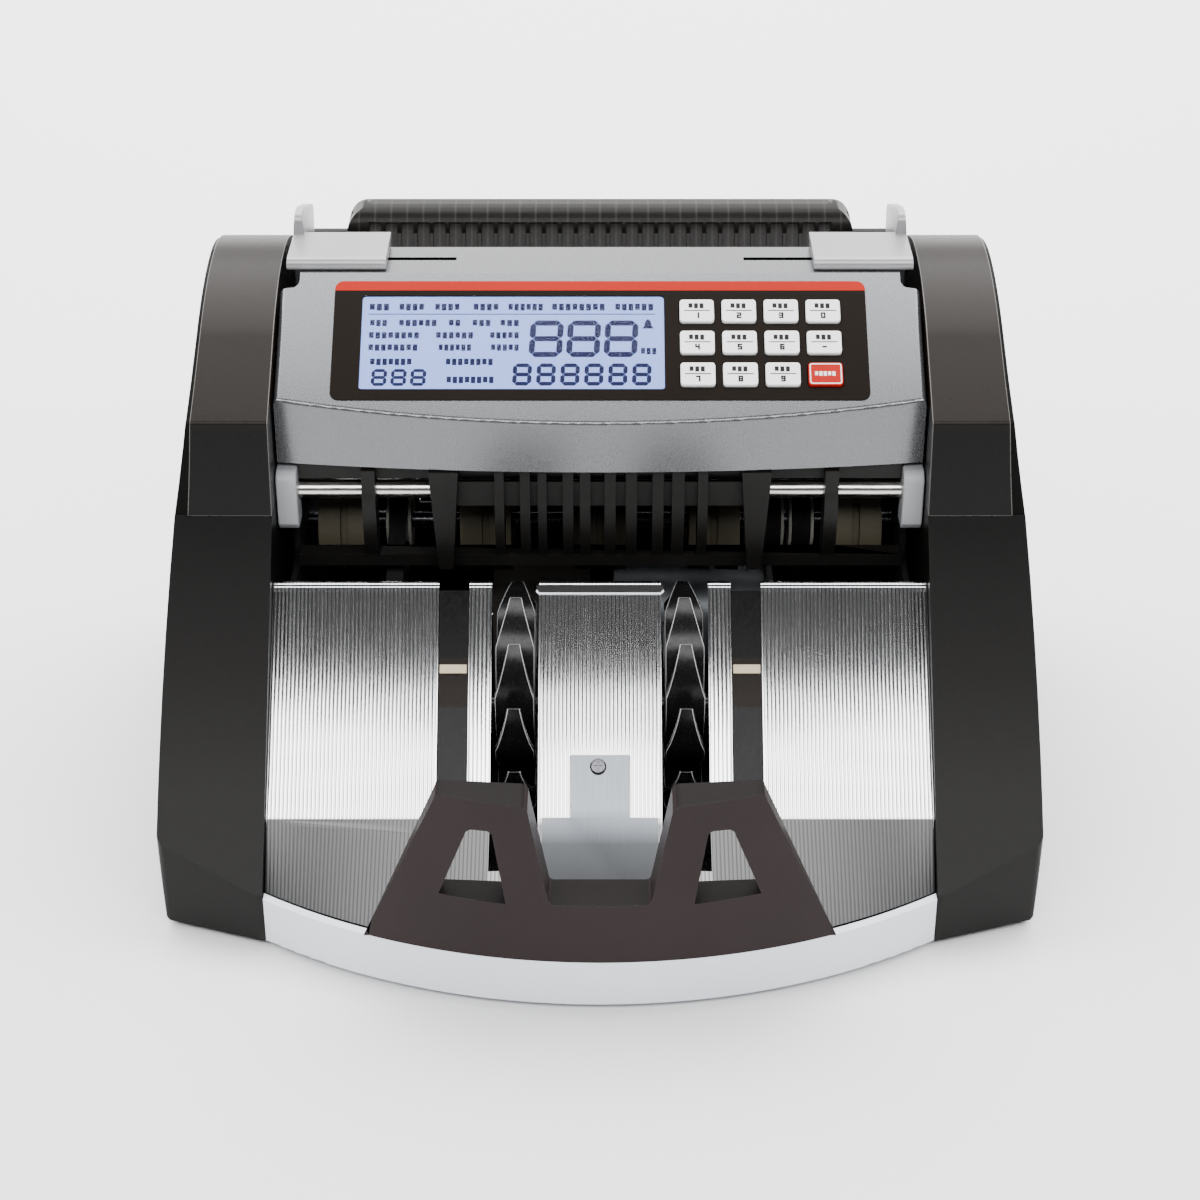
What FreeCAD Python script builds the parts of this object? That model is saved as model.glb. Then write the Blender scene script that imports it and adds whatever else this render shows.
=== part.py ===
"""Desktop front-loading banknote counter, as an assembly of separate pieces.

Millimetres. +Z is up, the front (note stacker) faces -Y, +X is to the operator's right.
The origin is at the centre of the footprint, at table level.
"""
import FreeCAD, Part
import math
import os

from FreeCAD import Placement, Rotation, Vector

doc = FreeCAD.newDocument("banknote_counter")

# ---------------------------------------------------------------- driving dimensions
DIMENSIONS = {
    "inner_half": 109.5,        # from the middle to the inner face of a side panel
    "panel_wall": 2.5,          # wall of the moulded shells
    "half_depth": 124.0,        # front of the tray and back of the side panels
    "foot_lift": 2.5,           # height of the base above the table
    "rim_top": 19.5,            # top of the silver front rim
    "tray_radius": 198.2,       # plan radius of the curved front
    "seam_height": 115.3,       # seam between side panel and shoulder cap
    "face_tilt": 34.2,          # tilt of the control panel from the horizontal
    "cover_half": 108.7,
    "cover_front_radius": 782.0,
    "plateau_height": 179.0,
    "plateau_rear": 73.0,
    "bezel_width": 180.0,
    "bezel_length": 46.8,
    "bezel_thick": 1.2,
    "strip_length": 3.9,
    "glass_width": 102.0,
    "glass_length": 36.6,
    "glass_thick": 2.0,
    "key_width": 11.6,
    "key_length": 8.8,
    "key_height": 2.6,
    "key_pitch_across": 14.2,
    "key_pitch_up": 12.4,
    "plate_thick": 1.6,
    "slot_width": 15.8,         # impeller slot in the stacker plate
    "side_slot_width": 10.2,
    "impeller_radius": 42.0,
    "impeller_width": 12.8,
    "impeller_blades": 12.0,
    "blade_tip_width": 3.4,
    "blade_shoulder_radius": 34.5,
    "shaft_radius": 3.0,
    "guide_shaft_radius": 3.2,
    "roller_radius": 18.0,
    "roller_width": 18.0,
    "feed_radius": 12.0,
    "feed_width": 14.0,
    "belt_width": 6.0,
    "belt_thick": 1.5,
    "motor_radius": 21.0,
    "motor_length": 56.0,
    "frame_thick": 2.0,
    "frame_face": 105.5,        # outer face of a steel side frame
    "stopper_top": 79.0,
    "stopper_block_top": 41.5,
    "stopper_thick": 8.0,
    "hopper_half": 91.5,
    "hopper_rib_pitch": 5.8,
    "hopper_groove_width": 4.4,
    "cover_rear_half": 102.2,   # half-width of the cover behind its step
    "guide_travel": 35.0,
}

sheet = doc.addObject("Spreadsheet::Sheet", "dims")
for row, (alias, number) in enumerate(DIMENSIONS.items(), start=1):
    sheet.set(f"A{row}", alias)
    sheet.set(f"B{row}", str(number))
    sheet.setAlias(f"B{row}", alias)
doc.recompute()


def dim(alias):
    """A driving dimension, read back from the sheet."""
    return float(sheet.get(alias))


INNER = dim("inner_half")
WALL = dim("panel_wall")
DEPTH = dim("half_depth")
LIFT = dim("foot_lift")
RIM = dim("rim_top")
SEAM = dim("seam_height")
TILT = dim("face_tilt")
SHAFT_R = dim("shaft_radius")
FRAME_OUT = dim("frame_face")
FRAME_T = dim("frame_thick")

# Shaft centres, as (y, z)
GUIDE_SHAFT = (10.0, 117.0)
IMPELLER = (-19.8, 49.4)
MAIN = (42.0, 88.0)
FEED = (86.6, 123.3)
MOTOR = (72.0, 34.0)
DOOR_HINGE = (117.5, 50.0)

NODES = {}


# ---------------------------------------------------------------- helpers
def node(label, shape_object):
    """Registers a document object as the sub-part that is exported under this label."""
    shape_object.Label = label
    NODES[label] = shape_object
    return shape_object


def bind(target, **expressions):
    """Binds properties of an object to cells of the sheet."""
    for prop, expression in expressions.items():
        target.setExpression(prop.replace("__", "."), str(expression))
    return target


def outline_geometry(outline):
    """Lines and arcs of a closed outline. A point is (x, y); an arc is ((via x, via y), (end x, end y))."""
    pieces = []
    points = [item[-1] if isinstance(item[0], tuple) else item for item in outline]
    for index, item in enumerate(outline):
        start = Vector(*points[index - 1], 0)
        end = Vector(*points[index], 0)
        if isinstance(item[0], tuple):
            pieces.append(Part.Arc(start, Vector(*item[0], 0), end))
        else:
            pieces.append(Part.LineSegment(start, end))
    return pieces


PLANES = {"XY": "XY_Plane", "XZ": "XZ_Plane", "YZ": "YZ_Plane"}


def sketch_on(body, plane, outlines, offset, name):
    """A sketch in a body, on one of its origin planes, moved along the plane's normal."""
    sketch = body.newObject("Sketcher::SketchObject", name)
    plane_object = [f for f in body.Origin.OriginFeatures if f.Role == PLANES[plane]][0]
    sketch.AttachmentSupport = [(plane_object, "")]
    sketch.MapMode = "FlatFace"
    sketch.AttachmentOffset = Placement(Vector(0, 0, offset), Rotation())
    for outline in outlines:
        if isinstance(outline, dict):
            centre = Vector(*outline["centre"], 0)
            sketch.addGeometry(Part.Circle(centre, Vector(0, 0, 1), outline["radius"]), False)
        else:
            sketch.addGeometry(outline_geometry(outline), False)
    return sketch


def pad(name, plane, outlines, start, length):
    """A body with one pad. Normals: XY is +Z, YZ is +X, and XZ is -Y."""
    body = doc.addObject("PartDesign::Body", name)
    sketch = sketch_on(body, plane, outlines, start, name + "_sketch")
    feature = body.newObject("PartDesign::Pad", name + "_pad")
    feature.Profile = sketch
    bind(feature, Length=length)
    body.Tip = feature
    return body


def rectangle(x0, y0, x1, y1):
    return [(x0, y0), (x1, y0), (x1, y1), (x0, y1)]


def rounded_rectangle(x0, y0, x1, y1, r):
    """Outline of a rectangle with round corners, anticlockwise from the bottom left."""
    k = r * (1 - math.sqrt(0.5))
    return [
        ((x0 + k, y0 + k), (x0 + r, y0)), (x1 - r, y0), ((x1 - k, y0 + k), (x1, y0 + r)),
        (x1, y1 - r), ((x1 - k, y1 - k), (x1 - r, y1)),
        (x0 + r, y1), ((x0 + k, y1 - k), (x0, y1 - r)), (x0, y0 + r),
    ]


def box(name, low, high):
    """A Part::Box between two corners."""
    solid = doc.addObject("Part::Box", name)
    bind(solid, Length=high[0] - low[0], Width=high[1] - low[1], Height=high[2] - low[2])
    solid.Placement = Placement(Vector(*low), Rotation())
    return solid


def rod(name, radius, x0, x1, centre):
    """A Part::Cylinder along X, between x0 and x1, centred on (y, z)."""
    solid = doc.addObject("Part::Cylinder", name)
    bind(solid, Radius=radius, Height=x1 - x0)
    solid.Placement = Placement(Vector(x0, *centre), Rotation(Vector(0, 1, 0), 90))
    return solid


def cut(name, base, *tools):
    for index, tool in enumerate(tools):
        result = doc.addObject("Part::Cut", f"{name}_cut{index}")
        result.Base = base
        result.Tool = tool
        base = result
    return base


def fuse(name, *solids):
    result = doc.addObject("Part::MultiFuse", name + "_fuse")
    result.Shapes = list(solids)
    result.Refine = True
    return result


def common(name, *solids):
    result = doc.addObject("Part::MultiCommon", name + "_common")
    result.Shapes = list(solids)
    return result


def compound(name, *solids):
    """Separate solids that share one node."""
    result = doc.addObject("Part::Compound", name + "_group")
    result.Links = list(solids)
    return result


def mirrored(name, source):
    """The same piece on the other side of the YZ plane."""
    result = doc.addObject("Part::Mirroring", name + "_mirror")
    result.Source = source
    result.Base = Vector(0, 0, 0)
    result.Normal = Vector(1, 0, 0)
    return result


def fillet(name, source, radius, wanted):
    """Rounds the edges for which wanted(edge) is true, where that can be done."""
    doc.recompute()
    edges = [i + 1 for i, e in enumerate(source.Shape.Edges) if wanted(e)]
    result = doc.addObject("Part::Fillet", name + "_fillet")
    result.Base = source
    result.Edges = [(i, radius, radius) for i in edges]
    doc.recompute()
    if not edges or result.Shape.isNull() or not result.Shape.isValid():
        doc.removeObject(result.Name)
        raise ValueError(f"{name}: the fillet failed on {len(edges)} edges")
    return result


def middle(edge):
    low, high = edge.ParameterRange
    return edge.valueAt((low + high) / 2)


def near(edge, x=None, y=None, z=None, tol=0.3):
    """Whether the middle of an edge lies at the given coordinates."""
    point = middle(edge)
    return all(
        wanted is None or abs(value - wanted) < tol
        for value, wanted in ((point.x, x), (point.y, y), (point.z, z))
    )


def along_x(edge):
    ends = [v.Point for v in edge.Vertexes]
    if len(ends) < 2:
        return False
    run = ends[1] - ends[0]
    return abs(run.x) > 0.98 * run.Length and run.Length > 5


def extruded_inset(name, plane, outline, start, length, inset):
    """A solid from an outline that is first offset inwards by `inset`."""
    turns = {
        "XY": Rotation(),
        "YZ": Rotation(Vector(1, 1, 1), 120),
        "XZ": Rotation(Vector(1, 0, 0), 90),
    }
    normals = {"XY": Vector(0, 0, 1), "YZ": Vector(1, 0, 0), "XZ": Vector(0, -1, 0)}
    sketch = doc.addObject("Sketcher::SketchObject", name + "_sketch")
    sketch.addGeometry(outline_geometry(outline), False)
    sketch.Placement = Placement(normals[plane] * start, turns[plane])
    shrunk = doc.addObject("Part::Offset2D", name + "_offset")
    shrunk.Source = sketch
    shrunk.Value = -inset
    shrunk.Join = 2
    solid = doc.addObject("Part::Extrusion", name + "_extrusion")
    solid.Base = shrunk
    solid.Dir = normals[plane]
    solid.DirMode = "Custom"
    solid.LengthFwd = length
    solid.Solid = True
    return solid


def arc_y(x, radius, front):
    """y of a front arc that is centred on x = 0, bulges to -Y and touches y = front."""
    return front + radius - math.sqrt(radius ** 2 - x ** 2)


# ---------------------------------------------------------------- side panels and shoulder caps
CHEEK_TOP = 180.0


def panel_outline(drop):
    """Side view of a side panel, which lies `drop` below its shoulder cap above the seam."""
    return [
        (-91.0, LIFT),
        (-90.2, 20.4),
        (-7.1, SEAM),
        (-7.1 + drop, SEAM + 1.0),
        (-2.4 + drop, 147.6 - drop * 0.5),
        (26.0 + drop, 166.2 - drop),
        ((48.0 + drop * 0.5, 176.3 - drop), (72.0, CHEEK_TOP - drop)),
        ((108.8 - drop, 164.8 - drop), (DEPTH, CHEEK_TOP - 52.0)),
        (DEPTH, LIFT),
    ]


CAP_OUTLINE = [
    (-7.1, SEAM),
    (-2.4, 147.6),
    (26.0, 166.2),
    ((48.0, 176.3), (72.0, CHEEK_TOP)),
    ((108.8, 164.8), (DEPTH, CHEEK_TOP - 52.0)),
    (DEPTH, SEAM),
]
WIDTH_OUTLINE = [
    (-INNER, LIFT), (-142.6, LIFT), (-143.6, LIFT + 1.0),
    ((-144.4, 58.0), (-142.1, SEAM)), ((-138.9, 133.0), (-136.5, 148.0)),
    ((-135.5, 165.0), (-135.1, CHEEK_TOP + 5)), (-INNER, CHEEK_TOP + 5),
]


def cap_front_view(inner, gap):
    """Front view of a shoulder cap, whose outer side is inset from the side panel."""
    return [
        (inner, SEAM), (-137.8 - gap, SEAM), ((-135.3 - gap, 146.0), (-133.9 - gap, CHEEK_TOP + 6)),
        (inner, CHEEK_TOP + 6),
    ]


PLAN_OUTLINE = [
    (-INNER, -91.0), (-142.0, -79.8), ((-143.6, -78.7), (-144.6, -76.9)),
    (-146.0, -70.0), (-146.0, DEPTH - 8), ((-143.6, DEPTH - 2.4), (-138.0, DEPTH)), (-INNER, DEPTH),
]


def side_panel():
    drop = 0.7
    widest = INNER + 37.0
    blank = common(
        "panel_blank",
        pad("panel_side_view", "YZ", [panel_outline(drop)], -widest, widest - INNER),
        pad("panel_front_view", "XZ", [WIDTH_OUTLINE], -DEPTH, 2 * DEPTH + 5),
        pad("panel_plan", "XY", [PLAN_OUTLINE], 0, CHEEK_TOP + 5),
    )
    hollow = common(
        "panel_hollow",
        extruded_inset("panel_inset_side", "YZ", panel_outline(drop), -widest, widest - INNER - WALL, WALL),
        extruded_inset("panel_inset_front", "XZ", WIDTH_OUTLINE, -DEPTH, 2 * DEPTH + 5, WALL),
        extruded_inset("panel_inset_plan", "XY", PLAN_OUTLINE, LIFT, CHEEK_TOP + 5, WALL),
    )
    underside = box("panel_underside", (-139.0, -80.0, LIFT - 1), (-INNER - WALL, DEPTH - WALL - 1, 8))
    step = pad("panel_step", "XZ", [cap_front_view(-INNER + 5, 0.05)], -140, 160)
    return cut("panel", blank, hollow, underside, step)


def shoulder_cap():
    blank = pad("cap_side_view", "YZ", [CAP_OUTLINE], -INNER - 32, 32)
    shoulder = fillet("cap_shoulder", blank, 1.6, lambda e: near(e, y=-2.4, z=147.6) and along_x(e))
    front_view = pad("cap_front_view", "XZ", [cap_front_view(-INNER, 0)], -140, 160)
    trimmed = common("cap_trimmed", shoulder, front_view)
    hollow_half = 131.4
    hollow = extruded_inset(
        "cap_inset", "YZ", CAP_OUTLINE, -hollow_half, hollow_half - INNER - WALL, WALL,
    )
    mouth = box("cap_mouth", (-hollow_half, 0, SEAM - 1), (-INNER - WALL, DEPTH - WALL, SEAM + 5))
    return cut("cap", trimmed, hollow, mouth)


left_panel = node("left_side_panel", side_panel())
node("right_side_panel", mirrored("right_side_panel", left_panel))
left_cap = node("left_shoulder_cap", shoulder_cap())
node("right_shoulder_cap", mirrored("right_shoulder_cap", left_cap))


# ---------------------------------------------------------------- base, rim and feet
FLAT_HALF = 109.2


def front_arc(half, front, radius):
    """Plan points of a front arc from -half to +half: start, (middle, end)."""
    side = arc_y(half, radius, front)
    return (-half, side), ((0, front), (half, side))


RIM_R = dim("tray_radius")
start, arc = front_arc(FLAT_HALF, -DEPTH + 3, RIM_R - 3)
tray = pad("tray_floor", "XY", [[start, arc, (FLAT_HALF, 116.0), (-FLAT_HALF, 116.0)]], LIFT, 3.0)
lip_l = box("tray_left_lip", (-FLAT_HALF, -80, 5), (-FLAT_HALF + 1.8, 116, 16))
lip_r = box("tray_right_lip", (FLAT_HALF - 1.8, -80, 5), (FLAT_HALF, 116, 16))
node("base_tray", fuse("base_tray", tray, lip_l, lip_r))

outer_start, outer_arc = front_arc(FLAT_HALF, -DEPTH, RIM_R)
inner_side = arc_y(FLAT_HALF, RIM_R - 2.9, -DEPTH + 2.9)
rim = pad("rim_wall", "XY", [[
    outer_start, outer_arc, (FLAT_HALF, inner_side), ((0, -DEPTH + 2.9), (-FLAT_HALF, inner_side)),
]], LIFT, RIM - LIFT)
rim = fillet("rim_edge", rim, 0.9, lambda e: near(e, y=-DEPTH, z=LIFT))
node("front_rim", rim)

feet = []
for index, (x, y) in enumerate([(-92, -78), (92, -78), (-92, 100), (92, 100)]):
    foot = doc.addObject("Part::Cone", f"foot_{index}")
    foot.Radius1 = 7.5
    foot.Radius2 = 9.0
    bind(foot, Height="dims.foot_lift")
    foot.Placement = Placement(Vector(x, y, 0), Rotation())
    feet.append(foot)
node("rubber_feet", compound("rubber_feet", *feet))


# ---------------------------------------------------------------- steel side frames and cross bars
FRAME_OUTLINE = [
    (-71.5, 6), (-71.5, 30), (-60, 43), (-14, 88), (14, 88.4), (14, 110), (24, 122), (60, 124.5),
    (74, 139), (95, 139), (106, 110), (106, 6),
]
SHAFT_HOLES = [(IMPELLER, SHAFT_R), (MAIN, SHAFT_R), (FEED, SHAFT_R)]


def side_frame(name, x0):
    holes = [{"centre": centre, "radius": radius + 0.05} for centre, radius in SHAFT_HOLES]
    plate = pad(name + "_plate", "YZ", [FRAME_OUTLINE] + holes, x0, "dims.frame_thick")
    flange_x = x0 - 10 if x0 > 0 else x0 + FRAME_T
    flange = box(name + "_flange", (flange_x, -60, 6), (flange_x + 10, 106, 8))
    return fuse(name, plate, flange)


node("left_side_frame", side_frame("left_frame", -FRAME_OUT))
node("right_side_frame", side_frame("right_frame", FRAME_OUT - FRAME_T))
BAR = FRAME_OUT - FRAME_T
bars = []
for index, (y, z, w, h) in enumerate([(-71, 7, 10, 9), (96, 70, 8, 14), (14, 12, 14, 10)]):
    outer = box(f"bar_{index}", (-BAR, y, z), (BAR, y + w, z + h))
    inner = box(f"bar_{index}_channel", (-BAR - 1, y + 1.5, z - 1), (BAR + 1, y + w - 1.5, z + h - 1.5))
    bars.append(cut(f"bar_{index}_hollow", outer, inner))
node("cross_bars", compound("cross_bars", *bars))


# ---------------------------------------------------------------- stacker plate with its slots
PLATE_TOP = (-17.9, 94.2)
PLATE_BEND = (-72.0, 37.8)
PLATE_T = dim("plate_thick")
PLATE_HALF = 109.2
FLOOR_FRONT = -DEPTH + 3.2
FLOOR_EDGE = 19.4
SLOPE_LEN = math.dist(PLATE_TOP, PLATE_BEND)
DOWN = ((PLATE_BEND[0] - PLATE_TOP[0]) / SLOPE_LEN, (PLATE_BEND[1] - PLATE_TOP[1]) / SLOPE_LEN)
OUT = (DOWN[1], -DOWN[0])


def on_slope(along, out):
    """(y, z) on the steep part: `along` from its top edge, `out` from its front surface."""
    return (
        PLATE_TOP[0] + DOWN[0] * along + OUT[0] * out,
        PLATE_TOP[1] + DOWN[1] * along + OUT[1] * out,
    )


steep = pad("steep_plate", "YZ", [[
    (on_slope(-2.0, -0.7), on_slope(0, 0)), PLATE_BEND, (PLATE_BEND[0], PLATE_BEND[1] - PLATE_T),
    on_slope(SLOPE_LEN - 1.0, -PLATE_T), on_slope(1.2, -PLATE_T), on_slope(-1.6, -PLATE_T - 1.6),
    on_slope(-2.6, -2.4),
]], -PLATE_HALF, 2 * PLATE_HALF)
bend_line = doc.addObject("Part::Line", "floor_bend_line")
bend_line.X1, bend_line.Y1, bend_line.Z1 = -PLATE_HALF, *PLATE_BEND
bend_line.X2, bend_line.Y2, bend_line.Z2 = PLATE_HALF, *PLATE_BEND
floor_sketch = doc.addObject("Sketcher::SketchObject", "floor_front_arc")
side_y = arc_y(PLATE_HALF, RIM_R - 3.2, FLOOR_FRONT)
floor_sketch.addGeometry(Part.Arc(
    Vector(-PLATE_HALF, side_y, 0), Vector(0, FLOOR_FRONT, 0), Vector(PLATE_HALF, side_y, 0),
), False)
floor_sketch.Placement = Placement(Vector(0, 0, FLOOR_EDGE), Rotation())
floor_face = doc.addObject("Part::RuledSurface", "floor_face")
floor_face.Curve1 = (bend_line, ["Edge1"])
floor_face.Curve2 = (floor_sketch, ["Edge1"])
floor_plate = doc.addObject("Part::Extrusion", "floor_plate")
floor_plate.Base = floor_face
floor_plate.Dir = Vector(0, 0, -1)
floor_plate.DirMode = "Custom"
floor_plate.LengthFwd = PLATE_T
floor_plate.Solid = True

SLOT_W = dim("slot_width")
SLOT_MID = 28.2
SIDE_W = dim("side_slot_width")
SIDE_MID = 48.7
slots = []
for side in (-1, 1):
    x = side * SLOT_MID
    slots.append(box(f"impeller_slot_{side + 1}", (x - SLOT_W / 2, -90.5, 0), (x + SLOT_W / 2, -8, 100)))
    x = side * SIDE_MID
    y_low, z_low = on_slope(68.5, 0)
    slots.append(box(
        f"side_slot_{side + 1}", (x - SIDE_W / 2, y_low, z_low - 10), (x + SIDE_W / 2, -8, 100),
    ))
node("stacker_plate", cut("stacker", fuse("stacker_blank", steep, floor_plate), *slots))

covers = []
for side in (-1, 1):
    x = side * SIDE_MID - SIDE_W / 2 + 0.05
    covers.append(pad(f"slot_cover_{side + 1}", "YZ", [[
        on_slope(0.8, -1.0), on_slope(67.5, -1.0), on_slope(67.5, -3.4), on_slope(0.8, -3.4),
    ]], x, SIDE_W - 0.1))
node("slot_covers", compound("slot_covers", *covers))
bars = []
for side in (-1, 1):
    x = side * SIDE_MID - SIDE_W / 2 + 0.6
    bars.append(pad(f"sensor_bar_{side + 1}", "YZ", [[
        on_slope(26.5, -0.9), on_slope(29.5, -0.9), on_slope(29.5, 0.4), on_slope(26.5, 0.4),
    ]], x, SIDE_W - 1.2))
node("sensor_windows", compound("sensor_windows", *bars))

FLOOR_SLOPE = (PLATE_BEND[1] - FLOOR_EDGE) / (PLATE_BEND[0] - FLOOR_FRONT)


def on_floor(y, out):
    """(y, z) on the centre line of the floor."""
    return (y, PLATE_BEND[1] + (y - PLATE_BEND[0]) * FLOOR_SLOPE + out)


tongue_up = pad("tongue_up", "YZ", [[
    on_slope(57, 0.1), on_slope(57, 1.0), (PLATE_BEND[0] - 0.4, PLATE_BEND[1] + 0.9), on_floor(-73.5, 0.1),
    on_slope(SLOPE_LEN - 0.1, 0.1),
]], -9.6, 19.2)
tongue_foot = pad("tongue_foot", "YZ", [[
    (PLATE_BEND[0] - 0.4, PLATE_BEND[1] + 0.9), on_floor(-108.8, 1.0), on_floor(-108.8, 0.1),
    on_floor(-73.5, 0.1),
]], -19.0, 38.0)
screw_hole = doc.addObject("Part::Cylinder", "tongue_screw_hole")
screw_hole.Radius = 1.3
screw_hole.Height = 8
screw_y, screw_z = on_slope(61.0, -4)
tilt = math.degrees(math.atan2(-OUT[0], OUT[1]))
screw_hole.Placement = Placement(Vector(-0.6, screw_y, screw_z), Rotation(Vector(1, 0, 0), tilt))
node("tongue_plate", cut("tongue", fuse("tongue_blank", tongue_up, tongue_foot), screw_hole))
screw_head = doc.addObject("Part::Cylinder", "screw_head")
screw_head.Radius = 2.7
screw_head.Height = 1.3
screw_y, screw_z = on_slope(61.0, 1.02)
screw_head.Placement = Placement(Vector(-0.6, screw_y, screw_z), Rotation(Vector(1, 0, 0), tilt))
doc.recompute()
screw_rims = sorted(screw_head.Shape.Edges, key=lambda e: e.CenterOfMass.dot(Vector(0, *OUT)))
outer_rim = screw_rims[-1].CenterOfMass
screw_head = fillet("screw_dome", screw_head, 0.7, lambda e: (e.CenterOfMass - outer_rim).Length < 0.01)
recess = []
for index, (w, h) in enumerate([(3.0, 0.6), (0.6, 3.0)]):
    bit = doc.addObject("Part::Box", f"screw_recess_{index}")
    bit.Length, bit.Width, bit.Height = w, h, 2
    bit.Placement = Placement(Vector(-0.6, *on_slope(61.0, 1.7)), Rotation(Vector(1, 0, 0), tilt)).multiply(
        Placement(Vector(-w / 2, -h / 2, 0), Rotation()))
    recess.append(bit)
node("tongue_screw", cut("tongue_screw", screw_head, *recess))


# ---------------------------------------------------------------- stopper in the front of the tray
TOP = dim("stopper_top")
BLOCK_TOP = dim("stopper_block_top")
STOP_BACK = -110.0
stop_start, stop_arc = front_arc(90.0, -DEPTH, RIM_R)
stop_plan = pad("stopper_plan", "XY", [[
    stop_start, stop_arc, (90.0, STOP_BACK), (-90.0, STOP_BACK),
]], 0, 100)
front_view = [
    (-75.0, RIM + 0.1), (75.0, RIM + 0.1), (50.4, TOP - 1.5), ((49.8, TOP - 0.2), (48.0, TOP)),
    (24.5, TOP - 1.3), ((22.7, TOP - 2.0), (21.9, TOP - 3.6)), (16.0, BLOCK_TOP + 1.5),
    ((15.2, BLOCK_TOP + 0.3), (13.8, BLOCK_TOP)), (-13.8, BLOCK_TOP),
    ((-15.2, BLOCK_TOP + 0.3), (-16.0, BLOCK_TOP + 1.5)), (-21.9, TOP - 3.6),
    ((-22.7, TOP - 2.0), (-24.5, TOP - 1.3)), (-48.0, TOP), ((-49.8, TOP - 0.2), (-50.4, TOP - 1.5)),
]


def window(side):
    points = [(50.2, BLOCK_TOP + 0.2), (29.2, BLOCK_TOP - 0.8), (32.8, 65.5)]
    outline = [(side * x, z) for x, z in points]
    outline.append(((side * 33.4, 67.0), (side * 34.6, 67.6)))
    outline.append((side * 38.8, 67.6))
    outline.append(((side * 40.4, 67.0), (side * 41.4, 65.2)))
    return outline


stop_view = pad("stopper_view", "XZ", [front_view, window(-1), window(1)], 100, 26)
stopper = common("stopper", stop_view, stop_plan)
floor_clear = doc.addObject("Part::Extrusion", "stopper_floor_relief")
floor_clear.Base = floor_face
floor_clear.Dir = Vector(0, 0, -1)
floor_clear.DirMode = "Custom"
floor_clear.LengthFwd = 30
floor_clear.LengthRev = 0.02
floor_clear.Solid = True
node("stopper", cut("stopper_seat", stopper, floor_clear))


# ---------------------------------------------------------------- impellers
def blade_outline(radius, hub, blades):
    """Side view of a wheel of `blades` spiral blades, whose tips point upwards at the front."""
    def polar(r, degrees):
        a = math.radians(degrees)
        return (IMPELLER[0] + r * math.cos(a), IMPELLER[1] + r * math.sin(a))

    points = []
    for blade in range(blades):
        tip = blade * 360.0 / blades
        points.append(polar(hub, tip + 82))
        points.append((polar(30.0, tip + 33.2), polar(radius - 0.5, tip)))
        points.append(polar(radius, tip))
        points.append((polar(29.4, tip + 39), polar(hub, tip + 100)))
    return points


def cone_x(name, radius_low, radius_high, x0, x1, centre):
    """A Part::Cone along X, from radius_low at x0 to radius_high at x1."""
    solid = doc.addObject("Part::Cone", name)
    bind(solid, Radius1=radius_low, Radius2=radius_high, Height=x1 - x0)
    solid.Placement = Placement(Vector(x0, *centre), Rotation(Vector(0, 1, 0), 90))
    return solid


IMP_R = dim("impeller_radius")
IMP_HALF = dim("impeller_width") / 2
TIP_HALF = dim("blade_tip_width") / 2
SHOULDER_R = dim("blade_shoulder_radius")
wheels = []
for side in (-1, 1):
    x = side * SLOT_MID
    blades = pad(
        f"impeller_{side + 1}", "YZ", [blade_outline(IMP_R, 13.0, int(dim("impeller_blades")))],
        x - IMP_HALF, "dims.impeller_width",
    )
    envelope = fuse(
        f"impeller_envelope_{side + 1}",
        cone_x(f"impeller_taper_a_{side + 1}", SHOULDER_R, IMP_R + 0.3, x - IMP_HALF, x - TIP_HALF, IMPELLER),
        rod(f"impeller_middle_{side + 1}", IMP_R + 0.3, x - TIP_HALF, x + TIP_HALF, IMPELLER),
        cone_x(f"impeller_taper_b_{side + 1}", IMP_R + 0.3, SHOULDER_R, x + TIP_HALF, x + IMP_HALF, IMPELLER),
    )
    tapered = common(f"impeller_blades_{side + 1}", blades, envelope)
    hub = rod(f"impeller_hub_{side + 1}", 13.2, x - IMP_HALF, x + IMP_HALF, IMPELLER)
    bore = rod(f"impeller_bore_{side + 1}", SHAFT_R, x - 12, x + 12, IMPELLER)
    wheels.append(cut(f"impeller_{side + 1}", fuse(f"impeller_blank_{side + 1}", tapered, hub), bore))
node("impellers", compound("impellers", *wheels))

BELT_LEFT = -74.0
BELT_RIGHT = 68.0
BELT_W = dim("belt_width")
BELT_T = dim("belt_thick")
SHAFT_END = FRAME_OUT + 1.5


def pulley(name, x, centre, radius, bore):
    """A flat pulley with two flanges round a belt of the standard width."""
    middle_disc = rod(name + "_drum", radius, x, x + BELT_W, centre)
    flange_a = rod(name + "_flange_a", radius + 2.0, x - 1.4, x - 0.3, centre)
    flange_b = rod(name + "_flange_b", radius + 2.0, x + BELT_W + 0.3, x + BELT_W + 1.4, centre)
    hub = rod(name + "_hub", max(radius - 2.0, bore + 1.2), x - 1.4, x + BELT_W + 1.4, centre)
    hole = rod(name + "_hole", bore, x - 5, x + BELT_W + 5, centre)
    return cut(name, fuse(name + "_blank", middle_disc, flange_a, flange_b, hub), hole)


PULLEY_IMPELLER = 16.0
PULLEY_MAIN = 8.0
PULLEY_FEED = 4.5
PULLEY_MOTOR = 8.0
node("impeller_shaft", rod("impeller_shaft", "dims.shaft_radius", -SHAFT_END, SHAFT_END, IMPELLER))
node("impeller_pulley", pulley("impeller_pulley", BELT_LEFT, IMPELLER, PULLEY_IMPELLER, SHAFT_R))


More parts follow.
